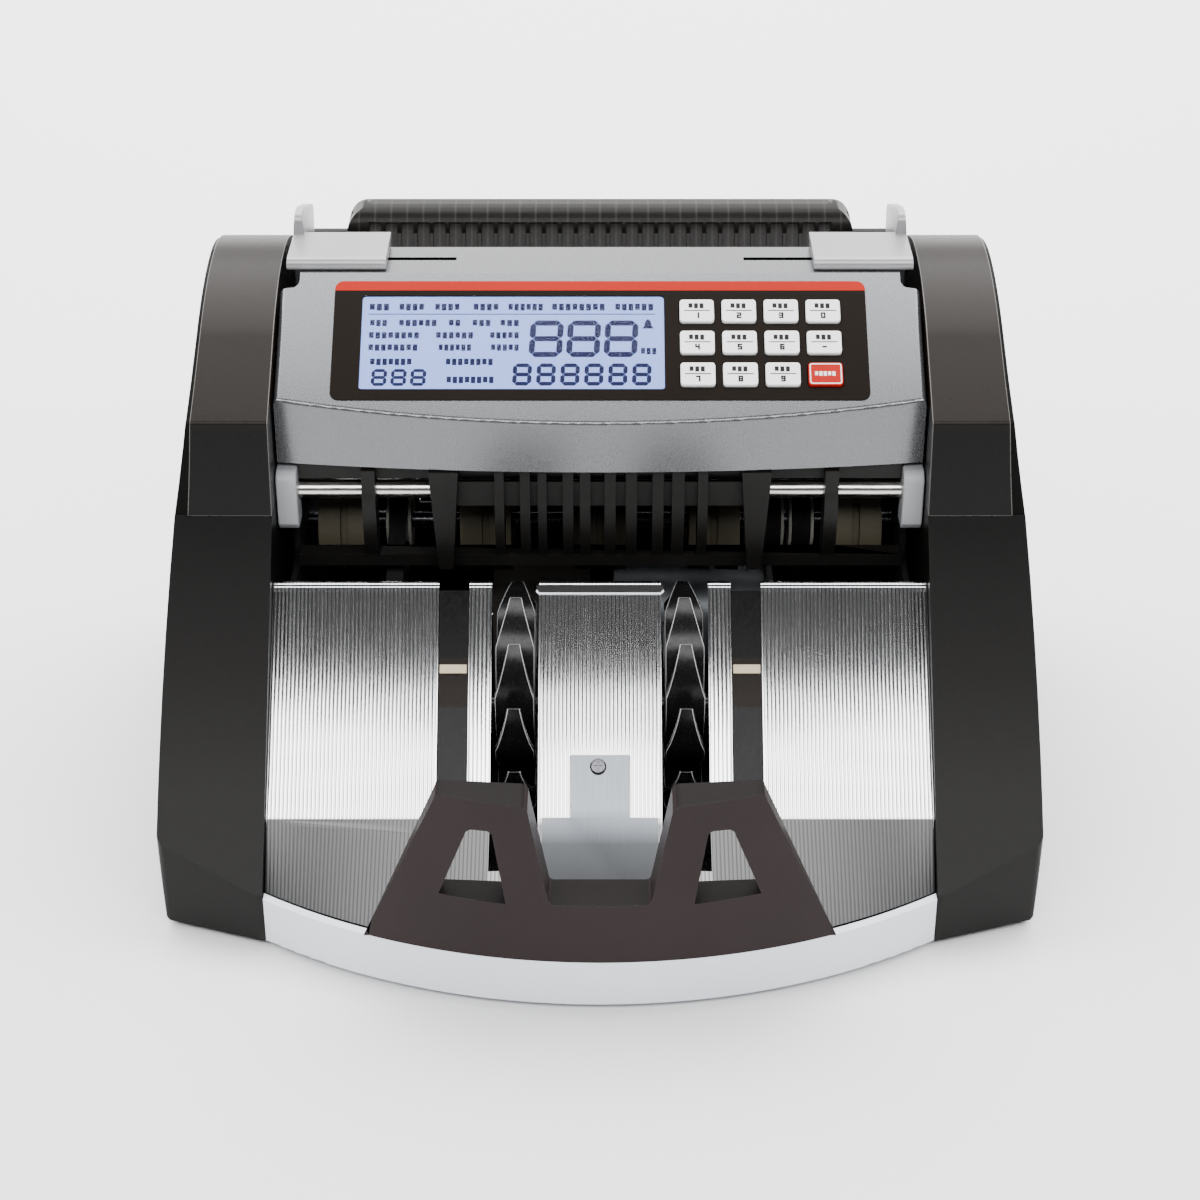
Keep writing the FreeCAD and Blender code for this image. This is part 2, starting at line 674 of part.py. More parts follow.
# ---------------------------------------------------------------- transport and feed shafts
def rollers(name, xs, centre, radius, width, hub_groove):
    group = []
    for index, x in enumerate(xs):
        tyre = rod(f"{name}_{index}", radius, x - width / 2, x + width / 2, centre)
        bore = rod(f"{name}_bore_{index}", SHAFT_R, x - width, x + width, centre)
        groove = rod(f"{name}_groove_{index}", radius + 1, x - 1.2, x + 1.2, centre)
        inner = rod(f"{name}_groove_in_{index}", radius - hub_groove, x - 2, x + 2, centre)
        ring = cut(f"{name}_ring_{index}", groove, inner)
        group.append(cut(f"{name}_{index}", tyre, bore, ring))
    return compound(name, *group)


node("main_shaft", rod("main_shaft", "dims.shaft_radius", -SHAFT_END, SHAFT_END, MAIN))
node("main_rollers", rollers("main_rollers", (-89.5, -40, 0, 40, 89.5), MAIN, dim("roller_radius"),
                             dim("roller_width"), 1.5))
node("main_pulleys", compound(
    "main_pulleys",
    pulley("main_pulley_left", BELT_LEFT, MAIN, PULLEY_MAIN, SHAFT_R),
    pulley("main_pulley_right", BELT_RIGHT, MAIN, PULLEY_MOTOR, SHAFT_R),
    pulley("main_pulley_feed", BELT_RIGHT - 10.5, MAIN, PULLEY_MAIN, SHAFT_R),
))
node("feed_shaft", rod("feed_shaft", "dims.shaft_radius", -SHAFT_END, SHAFT_END, FEED))
node("feed_rollers", rollers("feed_rollers", (-40, 0, 40), FEED, dim("feed_radius"), dim("feed_width"), 1.0))
node("feed_pulley", pulley("feed_pulley", BELT_RIGHT - 10.5, FEED, PULLEY_FEED, SHAFT_R))


# ---------------------------------------------------------------- top cover and control panel
PANEL_FOOT = (8.3, 150.7)
PANEL_L = dim("bezel_length")
PANEL_W = dim("bezel_width")
SLOPE = math.radians(TILT)
PANEL = Placement(
    Vector(0, PANEL_FOOT[0] + PANEL_L / 2 * math.cos(SLOPE), PANEL_FOOT[1] + PANEL_L / 2 * math.sin(SLOPE)),
    Rotation(Vector(1, 0, 0), TILT),
)
PLATEAU = dim("plateau_height")
REAR = dim("plateau_rear")
COVER_HALF = dim("cover_half")
COVER_R = dim("cover_front_radius")
REAR_HALF = dim("cover_rear_half")
BAND_BOTTOM = 127.6


def on_panel(name, outlines, z0, length):
    """A pad that stands on the tilted control panel. x is across and y is up the slope."""
    body = pad(name, "XY", outlines, z0, length)
    body.Placement = PANEL
    return body


def plane_z(y):
    return PANEL_FOOT[1] + (y - PANEL_FOOT[0]) * math.tan(SLOPE)


PLATEAU_FRONT = PANEL_FOOT[0] + (PLATEAU - PANEL_FOOT[1]) / math.tan(SLOPE)
COVER_OUTLINE = [
    (-6, BAND_BOTTOM), (-6, plane_z(-6)), (PLATEAU_FRONT, PLATEAU), (REAR, PLATEAU), (REAR, 142.5),
    (61, BAND_BOTTOM),
]
cover_start, cover_arc = front_arc(COVER_HALF, 1.0, COVER_R)
inner_start, inner_arc = front_arc(COVER_HALF - WALL, 1.0 + WALL, COVER_R)
cover_blank = common(
    "cover_blank",
    pad("cover_side_view", "YZ", [COVER_OUTLINE], -COVER_HALF, 2 * COVER_HALF),
    pad("cover_plan", "XY", [[
        cover_start, cover_arc, (COVER_HALF, 44.5), (REAR_HALF + 2.0, 45.0),
        ((REAR_HALF + 0.6, 45.9), (REAR_HALF, 48.0)), (REAR_HALF, 90), (-REAR_HALF, 90),
        (-REAR_HALF, 48.0), ((-REAR_HALF - 0.6, 45.9), (-REAR_HALF - 2.0, 45.0)), (-COVER_HALF, 44.5),
    ]], 100, 100),
)
cover_blank = fillet(
    "cover_top_edges", cover_blank, 2.0,
    lambda e: (abs(middle(e).x) < 1 and abs(middle(e).y - 1.0) < 1 and middle(e).z > 140)
    or (abs(abs(middle(e).x) - COVER_HALF) < 0.1 and middle(e).z > BAND_BOTTOM + 22
        and middle(e).y < 40),
)
INNER_OUTLINE = [
    (-6, BAND_BOTTOM - 5), (-6, plane_z(-6) - 3.0), (PLATEAU_FRONT + 0.8, PLATEAU - WALL),
    (REAR - WALL, PLATEAU - WALL), (REAR - WALL, 140.0), (58.0, BAND_BOTTOM - 5),
]
cover_hollow = common(
    "cover_hollow",
    pad("cover_inner_view", "YZ", [INNER_OUTLINE], -COVER_HALF + WALL, 2 * (COVER_HALF - WALL)),
    pad("cover_inner_plan", "XY", [[
        inner_start, inner_arc, (COVER_HALF - WALL, 42.0), (REAR_HALF - WALL, 44.0),
        (REAR_HALF - WALL, 90), (-REAR_HALF + WALL, 90), (-REAR_HALF + WALL, 44.0),
        (-COVER_HALF + WALL, 42.0),
    ]], 100, 100),
)
STRIP = dim("strip_length")
THICK = dim("bezel_thick")
PROUD = 0.3
HALF_W = PANEL_W / 2
HALF_L = PANEL_L / 2
GLASS_W = dim("glass_width")
GLASS_L = dim("glass_length")
GLASS_X = -29.4
GLASS_Y = -0.8
KEY_W = dim("key_width")
KEY_L = dim("key_length")
KEY_XS = [32.7 + dim("key_pitch_across") * column for column in range(4)]
KEY_YS = [11.0 - dim("key_pitch_up") * row for row in range(3)]
KEY_GAP = 0.35


def glass_outline(grow):
    return rounded_rectangle(
        GLASS_X - GLASS_W / 2 - grow, GLASS_Y - GLASS_L / 2 - grow,
        GLASS_X + GLASS_W / 2 + grow, GLASS_Y + GLASS_L / 2 + grow, 1.0,
    )


def key_outline(x, y, grow):
    return rounded_rectangle(
        x - KEY_W / 2 - grow, y - KEY_L / 2 - grow, x + KEY_W / 2 + grow, y + KEY_L / 2 + grow, 1.2 + grow,
    )


key_places = [(x, y) for y in KEY_YS for x in KEY_XS]
bezel_seat = on_panel(
    "bezel_seat", [rounded_rectangle(-HALF_W, -HALF_L, HALF_W, HALF_L, 3.0)], PROUD - THICK, 4,
)
window_hole = on_panel("window_hole", [glass_outline(0.0)], -8, 12)
key_holes = on_panel("key_holes", [key_outline(x, y, KEY_GAP) for x, y in key_places], -8, 12)
guide_slots = []
SLOT_REACH = dim("guide_travel")
for side in (-1, 1):
    xs = sorted((side * (88.0 - SLOT_REACH - 3.5), side * 91.5))
    guide_slots.append(box(f"guide_slot_{side + 1}", (xs[0], 61.0, 170), (xs[1], 63.6, 190)))
node("top_cover", cut(
    "top_cover", cover_blank, cover_hollow, bezel_seat, window_hole, key_holes, *guide_slots,
))

bezel = on_panel("bezel_plate", [
    [(-HALF_W + 0.05, -HALF_L + 3.0), ((-HALF_W + 0.93, -HALF_L + 0.93), (-HALF_W + 3.0, -HALF_L + 0.05)),
     (HALF_W - 3.0, -HALF_L + 0.05), ((HALF_W - 0.93, -HALF_L + 0.93), (HALF_W - 0.05, -HALF_L + 3.0)),
     (HALF_W - 0.05, HALF_L - STRIP), (-HALF_W + 0.05, HALF_L - STRIP)],
    glass_outline(0.05),
] + [key_outline(x, y, KEY_GAP) for x, y in key_places], PROUD - THICK, "dims.bezel_thick")
node("panel_bezel", bezel)
node("panel_strip", on_panel("strip_plate", [[
    (-HALF_W + 0.05, HALF_L - STRIP + 0.05), (HALF_W - 0.05, HALF_L - STRIP + 0.05),
    (HALF_W - 0.05, HALF_L - 3.0), ((HALF_W - 0.93, HALF_L - 0.93), (HALF_W - 3.0, HALF_L - 0.05)),
    (-HALF_W + 3.0, HALF_L - 0.05), ((-HALF_W + 0.93, HALF_L - 0.93), (-HALF_W + 0.05, HALF_L - 3.0)),
]], PROUD - THICK, "dims.bezel_thick"))
node("display_glass", on_panel("display_glass_pane", [glass_outline(-0.02)], -1.85, "dims.glass_thick"))

MODULE_W = GLASS_W / 2 + 3
MODULE_L = GLASS_L / 2 + 1.5
module = on_panel("lcd_module", [rectangle(
    GLASS_X - MODULE_W, GLASS_Y - MODULE_L, GLASS_X + MODULE_W, GLASS_Y + MODULE_L,
)], -8.2, 5.0)
board = on_panel("key_board", [rectangle(25.5, -20.5, 84.0, 19.0)], -9.4, 1.6)
switches = on_panel("key_switches", [
    rectangle(x - 3, y - 3, x + 3, y + 3) for x, y in key_places
], -7.8, 3.2)
node("display_board", compound("display_board", module, fuse("key_board_set", board, switches)))

KEY_H = dim("key_height")
KEY_TOP = 1.3
for index, (x, y) in enumerate(key_places, start=1):
    cap = on_panel(f"key_cap_{index}", [key_outline(x, y, 0)], KEY_TOP - KEY_H, "dims.key_height")
    stem = on_panel(
        f"key_stem_{index}", [{"centre": (x, y), "radius": 2.0}], -3.6, 3.8 + KEY_TOP - KEY_H,
    )
    node(f"key_{index}", fuse(f"key_{index}", cap, stem))


# ---------------------------------------------------------------- hopper
FACE_LOW = (71.9, 119.0)
FACE_HIGH = (104.9, 171.5)
RIB_PITCH = dim("hopper_rib_pitch")
HOPPER_HALF = dim("hopper_half")


def hopper_outline(sink):
    """Side view of the ribbed hopper back, with its front and top surfaces sunk by `sink`."""
    dy, dz = 0.846 * sink, -0.532 * sink
    return [
        (FACE_LOW[0] + dy, FACE_LOW[1] + dz), (FACE_HIGH[0] + dy, FACE_HIGH[1] + dz),
        ((106.9 + sink * 0.5, 177.4 - sink * 0.8), (112.0, 180.0 - sink)), (116.5, 180.0 - sink),
        ((118.3, 179.3 - sink), (119.0, 177.5 - sink)), (119.0, 168.0), (116.2, 168.0), (116.2, 176.4),
        (112.5, 176.4), (108.4, 172.0), (74.8, 117.2),
    ]


hopper = pad("hopper_side_view", "YZ", [hopper_outline(0)], -HOPPER_HALF, 2 * HOPPER_HALF)
hopper = common("hopper_round", hopper, pad("hopper_front_view", "XZ", [
    rounded_rectangle(-HOPPER_HALF, 90, HOPPER_HALF, 180.0, 9.0),
], -130, 80))
GROOVE_W = dim("hopper_groove_width")
GROOVES = int((2 * HOPPER_HALF - 10) // RIB_PITCH)
first = -((GROOVES - 1) * RIB_PITCH + GROOVE_W) / 2
grooves = []
for index in range(GROOVES):
    grooves.append(pad(f"groove_{index}", "YZ", [[
        (FACE_LOW[0] - 5, FACE_LOW[1]), (FACE_HIGH[0] - 5, 175.4), (107.2, 175.4),
        (FACE_HIGH[0] + 0.846, FACE_HIGH[1] - 0.53), (FACE_LOW[0] + 0.846, FACE_LOW[1] - 0.53),
    ]], first + index * RIB_PITCH, GROOVE_W))
roller_slots = [
    box(f"roller_slot_{i}", (x - 8.2, 62, 110), (x + 8.2, 92, 141)) for i, x in enumerate((-40, 0, 40))
]
roller_slots.append(box("belt_slot", (BELT_RIGHT - 13.0, 62, 110), (BELT_RIGHT - 2.0, 92, 133)))
node("hopper_back", cut("hopper_back", hopper, fuse("grooves", *grooves), *roller_slots))
node("separator", fuse(
    "separator",
    box("separator_bar", (-96, 60.5, 118), (96, 64.5, 127)),
    *[box(f"separator_pad_{i}", (x - 8, 64.5, 114), (x + 8, 74.0, 126.5)) for i, x in enumerate((-40, 0, 40))],
))


def hopper_guide(side):
    name = "left" if side < 0 else "right"

    def span(x0, x1):
        return sorted((side * x0, side * x1))

    x0, x1 = span(73.0, 107.0)
    cap = pad(f"{name}_guide_cap", "YZ", [[
        (51.6, 179.4), ((51.6, 181.9), (54.4, 183.3)), (76.4, 183.3), (76.4, 181.0), (73.8, 181.0),
        (73.8, 179.4),
    ]], x0, x1 - x0)
    x0, x1 = span(102.9, 107.0)
    fence = pad(f"{name}_guide_fence", "YZ", [[
        (73.8, 146), (73.8, 186.5), ((75.0, 189.8), (78.6, 190.6)), (82.0, 190.4), (100.0, 184.4),
        ((103.4, 182.8), (104.6, 181.0)), (102.6, 172.0), (86.4, 146.0),
    ]], x0, x1 - x0)
    section = pad(f"{name}_guide_section", "XZ", [[
        (side * x, z) for x, z in
        [(73.0, 179.0), (73.0, 184.0), (102.9, 184.0), (103.8, 191.0), (106.1, 191.0), (107.0, 181.5),
         (107.0, 145.0), (102.9, 145.0), (102.9, 179.0)]
    ]], -120, 80)
    trimmed = common(f"{name}_guide_trimmed", fuse(f"{name}_guide_blank", cap, fence), section)
    x0, x1 = span(85.0, 88.0 + 3.0)
    foot = box(f"{name}_guide_foot", (x0, 61.35, 172.8), (x1, 63.25, 180.0))
    shoe = box(f"{name}_guide_shoe", (x0, 57.5, 172.6), (x1, 67.1, 175.8))
    return fuse(f"{name}_guide", trimmed, foot, shoe)


node("left_hopper_guide", hopper_guide(-1))
node("right_hopper_guide", hopper_guide(1))


# ---------------------------------------------------------------- note outlet
GUIDE_R = dim("guide_shaft_radius")
node("guide_shaft", rod("guide_shaft", "dims.guide_shaft_radius", -106.5, 106.5, GUIDE_SHAFT))
brackets = []
for side in (-1, 1):
    low, high = sorted((side * 102.2, side * 109.2))
    block = pad(f"bracket_{side + 1}", "YZ", [[
        (3.4, 106.5), (3.4, 121.5), ((4.6, 124.4), (7.5, 125.6)), (13.9, 125.6), (13.9, 104.0), (5.6, 104.0),
    ]], low, high - low)
    seat = rod(f"bracket_bore_{side + 1}", GUIDE_R, *sorted((side * 102.0, side * 106.5)), GUIDE_SHAFT)
    brackets.append(cut(f"bracket_{side + 1}_bored", block, seat))
node("shaft_brackets", compound("shaft_brackets", *brackets))

# Fingers of the note outlet, as (x, width)
FINGERS = [
    (-34.0, 3.2), (-25.3, 3.4), (-19.5, 3.0), (-10.8, 3.6), (-5.0, 3.6), (3.4, 3.8), (10.6, 3.8),
    (19.6, 3.8), (26.4, 4.2), (34.7, 3.4), (-78.1, 4.6), (78.1, 4.6),
]
comb_parts = [box("comb_bar", (-BAR + 0.05, 7.0, 88.6), (BAR - 0.05, 13.9, 93.0)),
              box("comb_top_bar", (-101.9, 9.0, 121.4), (101.9, 13.5, 127.2))]
for index, (x, w) in enumerate(FINGERS):
    comb_parts.append(pad(f"finger_{index}", "YZ", [[
        (4.0, 126.5), (13.5, 126.5), (13.9, 92.0), (7.0, 92.0), ((3.0, 106.0), (4.0, 120.0)),
    ]], x - w / 2, w))
for index, side in enumerate((-1, 1)):
    comb_parts.append(pad(f"wide_finger_{index}", "XZ", [[
        (side * 47.6, 127), (side * 57.6, 127), (side * 55.0, 90.0), (side * 50.2, 90.0),
    ]], -13.6, 12.0))
comb_bore = rod("comb_bore", GUIDE_R, -103, 103, GUIDE_SHAFT)
node("outlet_comb", cut("outlet_comb", fuse("comb_blank", *comb_parts), comb_bore))


# ---------------------------------------------------------------- back of the housing
DOOR_HINGE = (117.0, 58.0)
DOOR_HALF = 69.6
PIN_R = 1.0
rear_plate = pad("rear_plate", "XZ", [
    rectangle(-109.2, 5.6, 109.2, 167.8),
    rectangle(-70.0, 55.6, 70.0, 142.0),
    rounded_rectangle(46.5, 20.0, 73.5, 40.0, 1.5),
    rectangle(85.5, 20.4, 98.5, 39.6),
    {"centre": (0, 155.0), "radius": 3.05},
] + [
    rounded_rectangle(-101.0, 60.0 + 7.0 * i, -77.0, 62.4 + 7.0 * i, 1.1) for i in range(10)
], -119.0, 2.6)
pin_holes = [
    rod("door_pin_hole_0", PIN_R + 0.05, -74.2, -69.0, DOOR_HINGE),
    rod("door_pin_hole_1", PIN_R + 0.05, 69.0, 74.2, DOOR_HINGE),
]
hinge_ears = [
    box("hinge_ear_0", (-77, 114.4, 54.0), (-70, 117.6, 62.0)),
    box("hinge_ear_1", (70, 114.4, 54.0), (77, 117.6, 62.0)),
]
node("rear_panel", cut("rear_panel", fuse("rear_panel_blank", rear_plate, *hinge_ears), *pin_holes))

door_plate = box("door_plate", (-DOOR_HALF, 116.6, 58.0), (DOOR_HALF, 119.0, 141.6))
door_knuckle = rod("door_knuckle", 2.0, -DOOR_HALF, DOOR_HALF, DOOR_HINGE)
door_pins = rod("door_pins", PIN_R, -73.6, 73.6, DOOR_HINGE)
door_grip = box("door_grip", (-16, 118.8, 131.5), (16, 121.4, 134.0))
door_ribs = [box(f"door_rib_{i}", (x, 113.6, 64), (x + 2, 116.8, 136)) for i, x in enumerate((-46, -1, 44))]
node("rear_door", fuse("rear_door", door_plate, door_knuckle, door_pins, door_grip, *door_ribs))

knob_disc = doc.addObject("Part::Cylinder", "knob_disc")
knob_disc.Radius = 9.0
knob_disc.Height = 4.2
knob_disc.Placement = Placement(Vector(0, 119.4, 155.0), Rotation(Vector(1, 0, 0), -90))
knob_disc = fillet("knob_edge", knob_disc, 0.8, lambda e: near(e, y=123.6, tol=0.1))
knob_stem = doc.addObject("Part::Cylinder", "knob_stem")
knob_stem.Radius = 3.0
knob_stem.Height = 14.0
knob_stem.Placement = Placement(Vector(0, 105.8, 155.0), Rotation(Vector(1, 0, 0), -90))
notches = []
for index in range(16):
    turn = 2 * math.pi * index / 16
    notch = doc.addObject("Part::Cylinder", f"knob_notch_{index}")
    notch.Radius = 1.0
    notch.Height = 6.0
    notch.Placement = Placement(
        Vector(9.5 * math.cos(turn), 118.6, 155.0 + 9.5 * math.sin(turn)), Rotation(Vector(1, 0, 0), -90),
    )
    notches.append(notch)
node("thickness_knob", cut(
    "thickness_knob", fuse("knob_blank", knob_disc, knob_stem), fuse("notches", *notches),
))

inlet_flange = pad("inlet_flange", "XZ", [rounded_rectangle(43.5, 17.5, 76.5, 42.5, 3.0)], -121.0, 1.95)
inlet_body = pad("inlet_body", "XZ", [rounded_rectangle(46.6, 20.1, 73.4, 39.9, 1.5)], -119.1, 18.0)
inlet_mouth = pad("inlet_mouth", "XZ", [[
    (48.4, 22.4), (71.6, 22.4), (71.6, 33.0), (66.6, 37.8), (53.4, 37.8), (48.4, 33.0),
]], -122.0, 15.0)
inlet_shell = cut("inlet_shell", fuse("inlet_blank", inlet_flange, inlet_body), inlet_mouth)
inlet_pins = [
    box("inlet_pin_0", (52.0, 106.5, 28.0), (54.0, 118.5, 32.0)),
    box("inlet_pin_1", (66.0, 106.5, 28.0), (68.0, 118.5, 32.0)),
    box("inlet_pin_2", (59.0, 106.5, 31.5), (61.0, 119.5, 35.5)),
]
node("power_inlet", fuse("power_inlet", inlet_shell, *inlet_pins))

SWITCH = (114.5, 30.0)
switch_flange = pad("switch_flange", "XZ", [rectangle(84.2, 19.0, 99.8, 41.0)], -120.4, 1.35)
switch_body = pad("switch_body", "XZ", [rectangle(85.6, 20.5, 98.4, 39.5)], -119.1, 16.0)
switch_mouth = box("switch_mouth", (87.0, 105.0, 21.6), (97.0, 122, 38.4))
switch_pivots = rod("switch_pivots", PIN_R + 0.05, 86.2, 97.8, SWITCH)
node("switch_frame", cut(
    "switch_frame", fuse("switch_blank", switch_flange, switch_body), switch_mouth, switch_pivots,
))
rocker = pad("rocker_side", "YZ", [[
    (120.6, 22.6), ((119.3, 30.0), (120.6, 37.4)), (110.6, 35.0), (109.8, 30.0), (110.6, 25.0),
]], 87.35, 9.3)
rocker_pin = rod("rocker_pin", PIN_R, 86.4, 97.6, SWITCH)
rocker_turn = Placement(Vector(0, 0, 0), Rotation(Vector(1, 0, 0), 7.0), Vector(92, *SWITCH))
rocker_set = fuse("power_rocker", rocker, rocker_pin)
rocker_set.Placement = rocker_turn
node("power_rocker", rocker_set)


# ---------------------------------------------------------------- drive and electronics
MOTOR_R = dim("motor_radius")
MOTOR_L = dim("motor_length")
motor_can = rod("motor_can", "dims.motor_radius", 5.0, 5.0 + MOTOR_L, MOTOR)
motor_boss = rod("motor_boss", 9.0, 61.0, 64.0, MOTOR)
motor_hole = rod("motor_hole", SHAFT_R + 0.05, 40.0, 70.0, MOTOR)
motor_plate = pad("motor_plate", "YZ", [
    rectangle(47, 8.1, 97, 60), {"centre": MOTOR, "radius": 9.02},
], 61.05, 2.0)
motor_foot = box("motor_foot", (61.05, 47, 5.55), (80, 97, 8.1))
can = cut("motor", fuse("motor_blank", motor_can, motor_boss), motor_hole)
node("motor", compound("motor", can, fuse("motor_bracket", motor_plate, motor_foot)))
node("motor_shaft", fuse(
    "motor_shaft", rod("motor_spindle", "dims.shaft_radius", 41.0, 78.0, MOTOR),
    pulley("motor_pulley", BELT_RIGHT, MOTOR, PULLEY_MOTOR, SHAFT_R - 0.5),
))


def belt_outline(a, ra, b, rb):
    """Closed outline that wraps two circles, given as centre and radius."""
    span = math.dist(a, b)
    along = math.atan2(b[1] - a[1], b[0] - a[0])
    lean = math.acos((ra - rb) / span)

    def at(c, r, angle):
        return (c[0] + r * math.cos(angle), c[1] + r * math.sin(angle))

    return [
        (at(a, ra, along + math.pi), at(a, ra, along - lean)),
        at(b, rb, along - lean),
        (at(b, rb, along), at(b, rb, along + lean)),
        at(a, ra, along + lean),
    ]


RUN = 0.3
belt_runs = [
    ("belt_impeller", BELT_LEFT, IMPELLER, PULLEY_IMPELLER, MAIN, PULLEY_MAIN),
    ("belt_motor", BELT_RIGHT, MOTOR, PULLEY_MOTOR, MAIN, PULLEY_MOTOR),
    ("belt_feed", BELT_RIGHT - 10.5, FEED, PULLEY_FEED, MAIN, PULLEY_MAIN),
]
belts = []
for name, x, a, ra, b, rb in belt_runs:
    belts.append(pad(name, "YZ", [
        belt_outline(a, ra + RUN + BELT_T, b, rb + RUN + BELT_T), belt_outline(a, ra + RUN, b, rb + RUN),
    ], x, "dims.belt_width"))
node("belts", compound("belts", *belts))

pcb = box("pcb", (-92, 30, 10.5), (-48, 104, 12.1))
pcb_posts = [
    box(f"pcb_post_{i}", (x, y, 5.5), (x + 5, y + 5, 10.5)) for i, (x, y) in enumerate(
        [(-90, 32), (-55, 32), (-90, 97), (-55, 97)])
]
chips = [
    box(f"chip_{i}", (x, y, 12.1), (x + w, y + d, 12.1 + h)) for i, (x, y, w, d, h) in enumerate(
        [(-84, 52, 14, 14, 1.6), (-66, 44, 10, 20, 3), (-86, 80, 8, 12, 12), (-70, 82, 14, 10, 9),
         (-60, 70, 6, 6, 8)])
]
node("main_board", fuse("main_board", pcb, *pcb_posts, *chips))
core = box("transformer_core", (-40, 60, 5.6), (-4, 100, 44))
coil = box("transformer_coil", (-34, 54, 12), (-10, 106, 38))
node("transformer", fuse("transformer", core, coil))


# ---------------------------------------------------------------- check and export
doc.recompute()
problems = []
for item in doc.Objects:
    if "Invalid" in item.State or "Error" in item.State:
        problems.append(f"{item.Name}: {item.State}")
for label, item in NODES.items():
    shape = item.Shape
    if shape.isNull() or not shape.isValid() or not shape.Solids:
        problems.append(f"{label}: no valid solid")
if problems:
    raise SystemExit("\n".join(problems))

os.makedirs("parts", exist_ok=True)
for label, item in NODES.items():
    item.Shape.exportStep(f"parts/{label}.step")
print(len(NODES), "nodes written")
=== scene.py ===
import math

import bmesh
import bpy
from mathutils import Matrix, Vector


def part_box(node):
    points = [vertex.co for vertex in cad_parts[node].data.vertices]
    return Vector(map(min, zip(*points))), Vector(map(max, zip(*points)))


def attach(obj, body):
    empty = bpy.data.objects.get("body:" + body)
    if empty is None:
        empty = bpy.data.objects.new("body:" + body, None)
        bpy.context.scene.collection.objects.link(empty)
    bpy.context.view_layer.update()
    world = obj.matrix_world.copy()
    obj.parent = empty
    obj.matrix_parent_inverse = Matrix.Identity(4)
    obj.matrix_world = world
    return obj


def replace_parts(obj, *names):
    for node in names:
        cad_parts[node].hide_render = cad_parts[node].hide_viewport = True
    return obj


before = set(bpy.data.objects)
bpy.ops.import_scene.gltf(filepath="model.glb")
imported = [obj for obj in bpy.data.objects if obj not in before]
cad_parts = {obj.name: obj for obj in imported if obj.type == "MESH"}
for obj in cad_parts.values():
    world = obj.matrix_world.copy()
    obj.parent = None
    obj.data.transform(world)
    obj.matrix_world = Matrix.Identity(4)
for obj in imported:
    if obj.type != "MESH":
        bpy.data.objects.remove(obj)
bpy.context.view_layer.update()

MM = 0.001
FROM_MM = Matrix.Scale(MM, 4)
HOUSING = "housing"
CLOUD_SCALE = 30.0
# How steeply a face looks up, as its normal's z, where the painted shade (a darker tone) starts and where it
# is full.
LOOKS_UP = (0.72, 0.92)


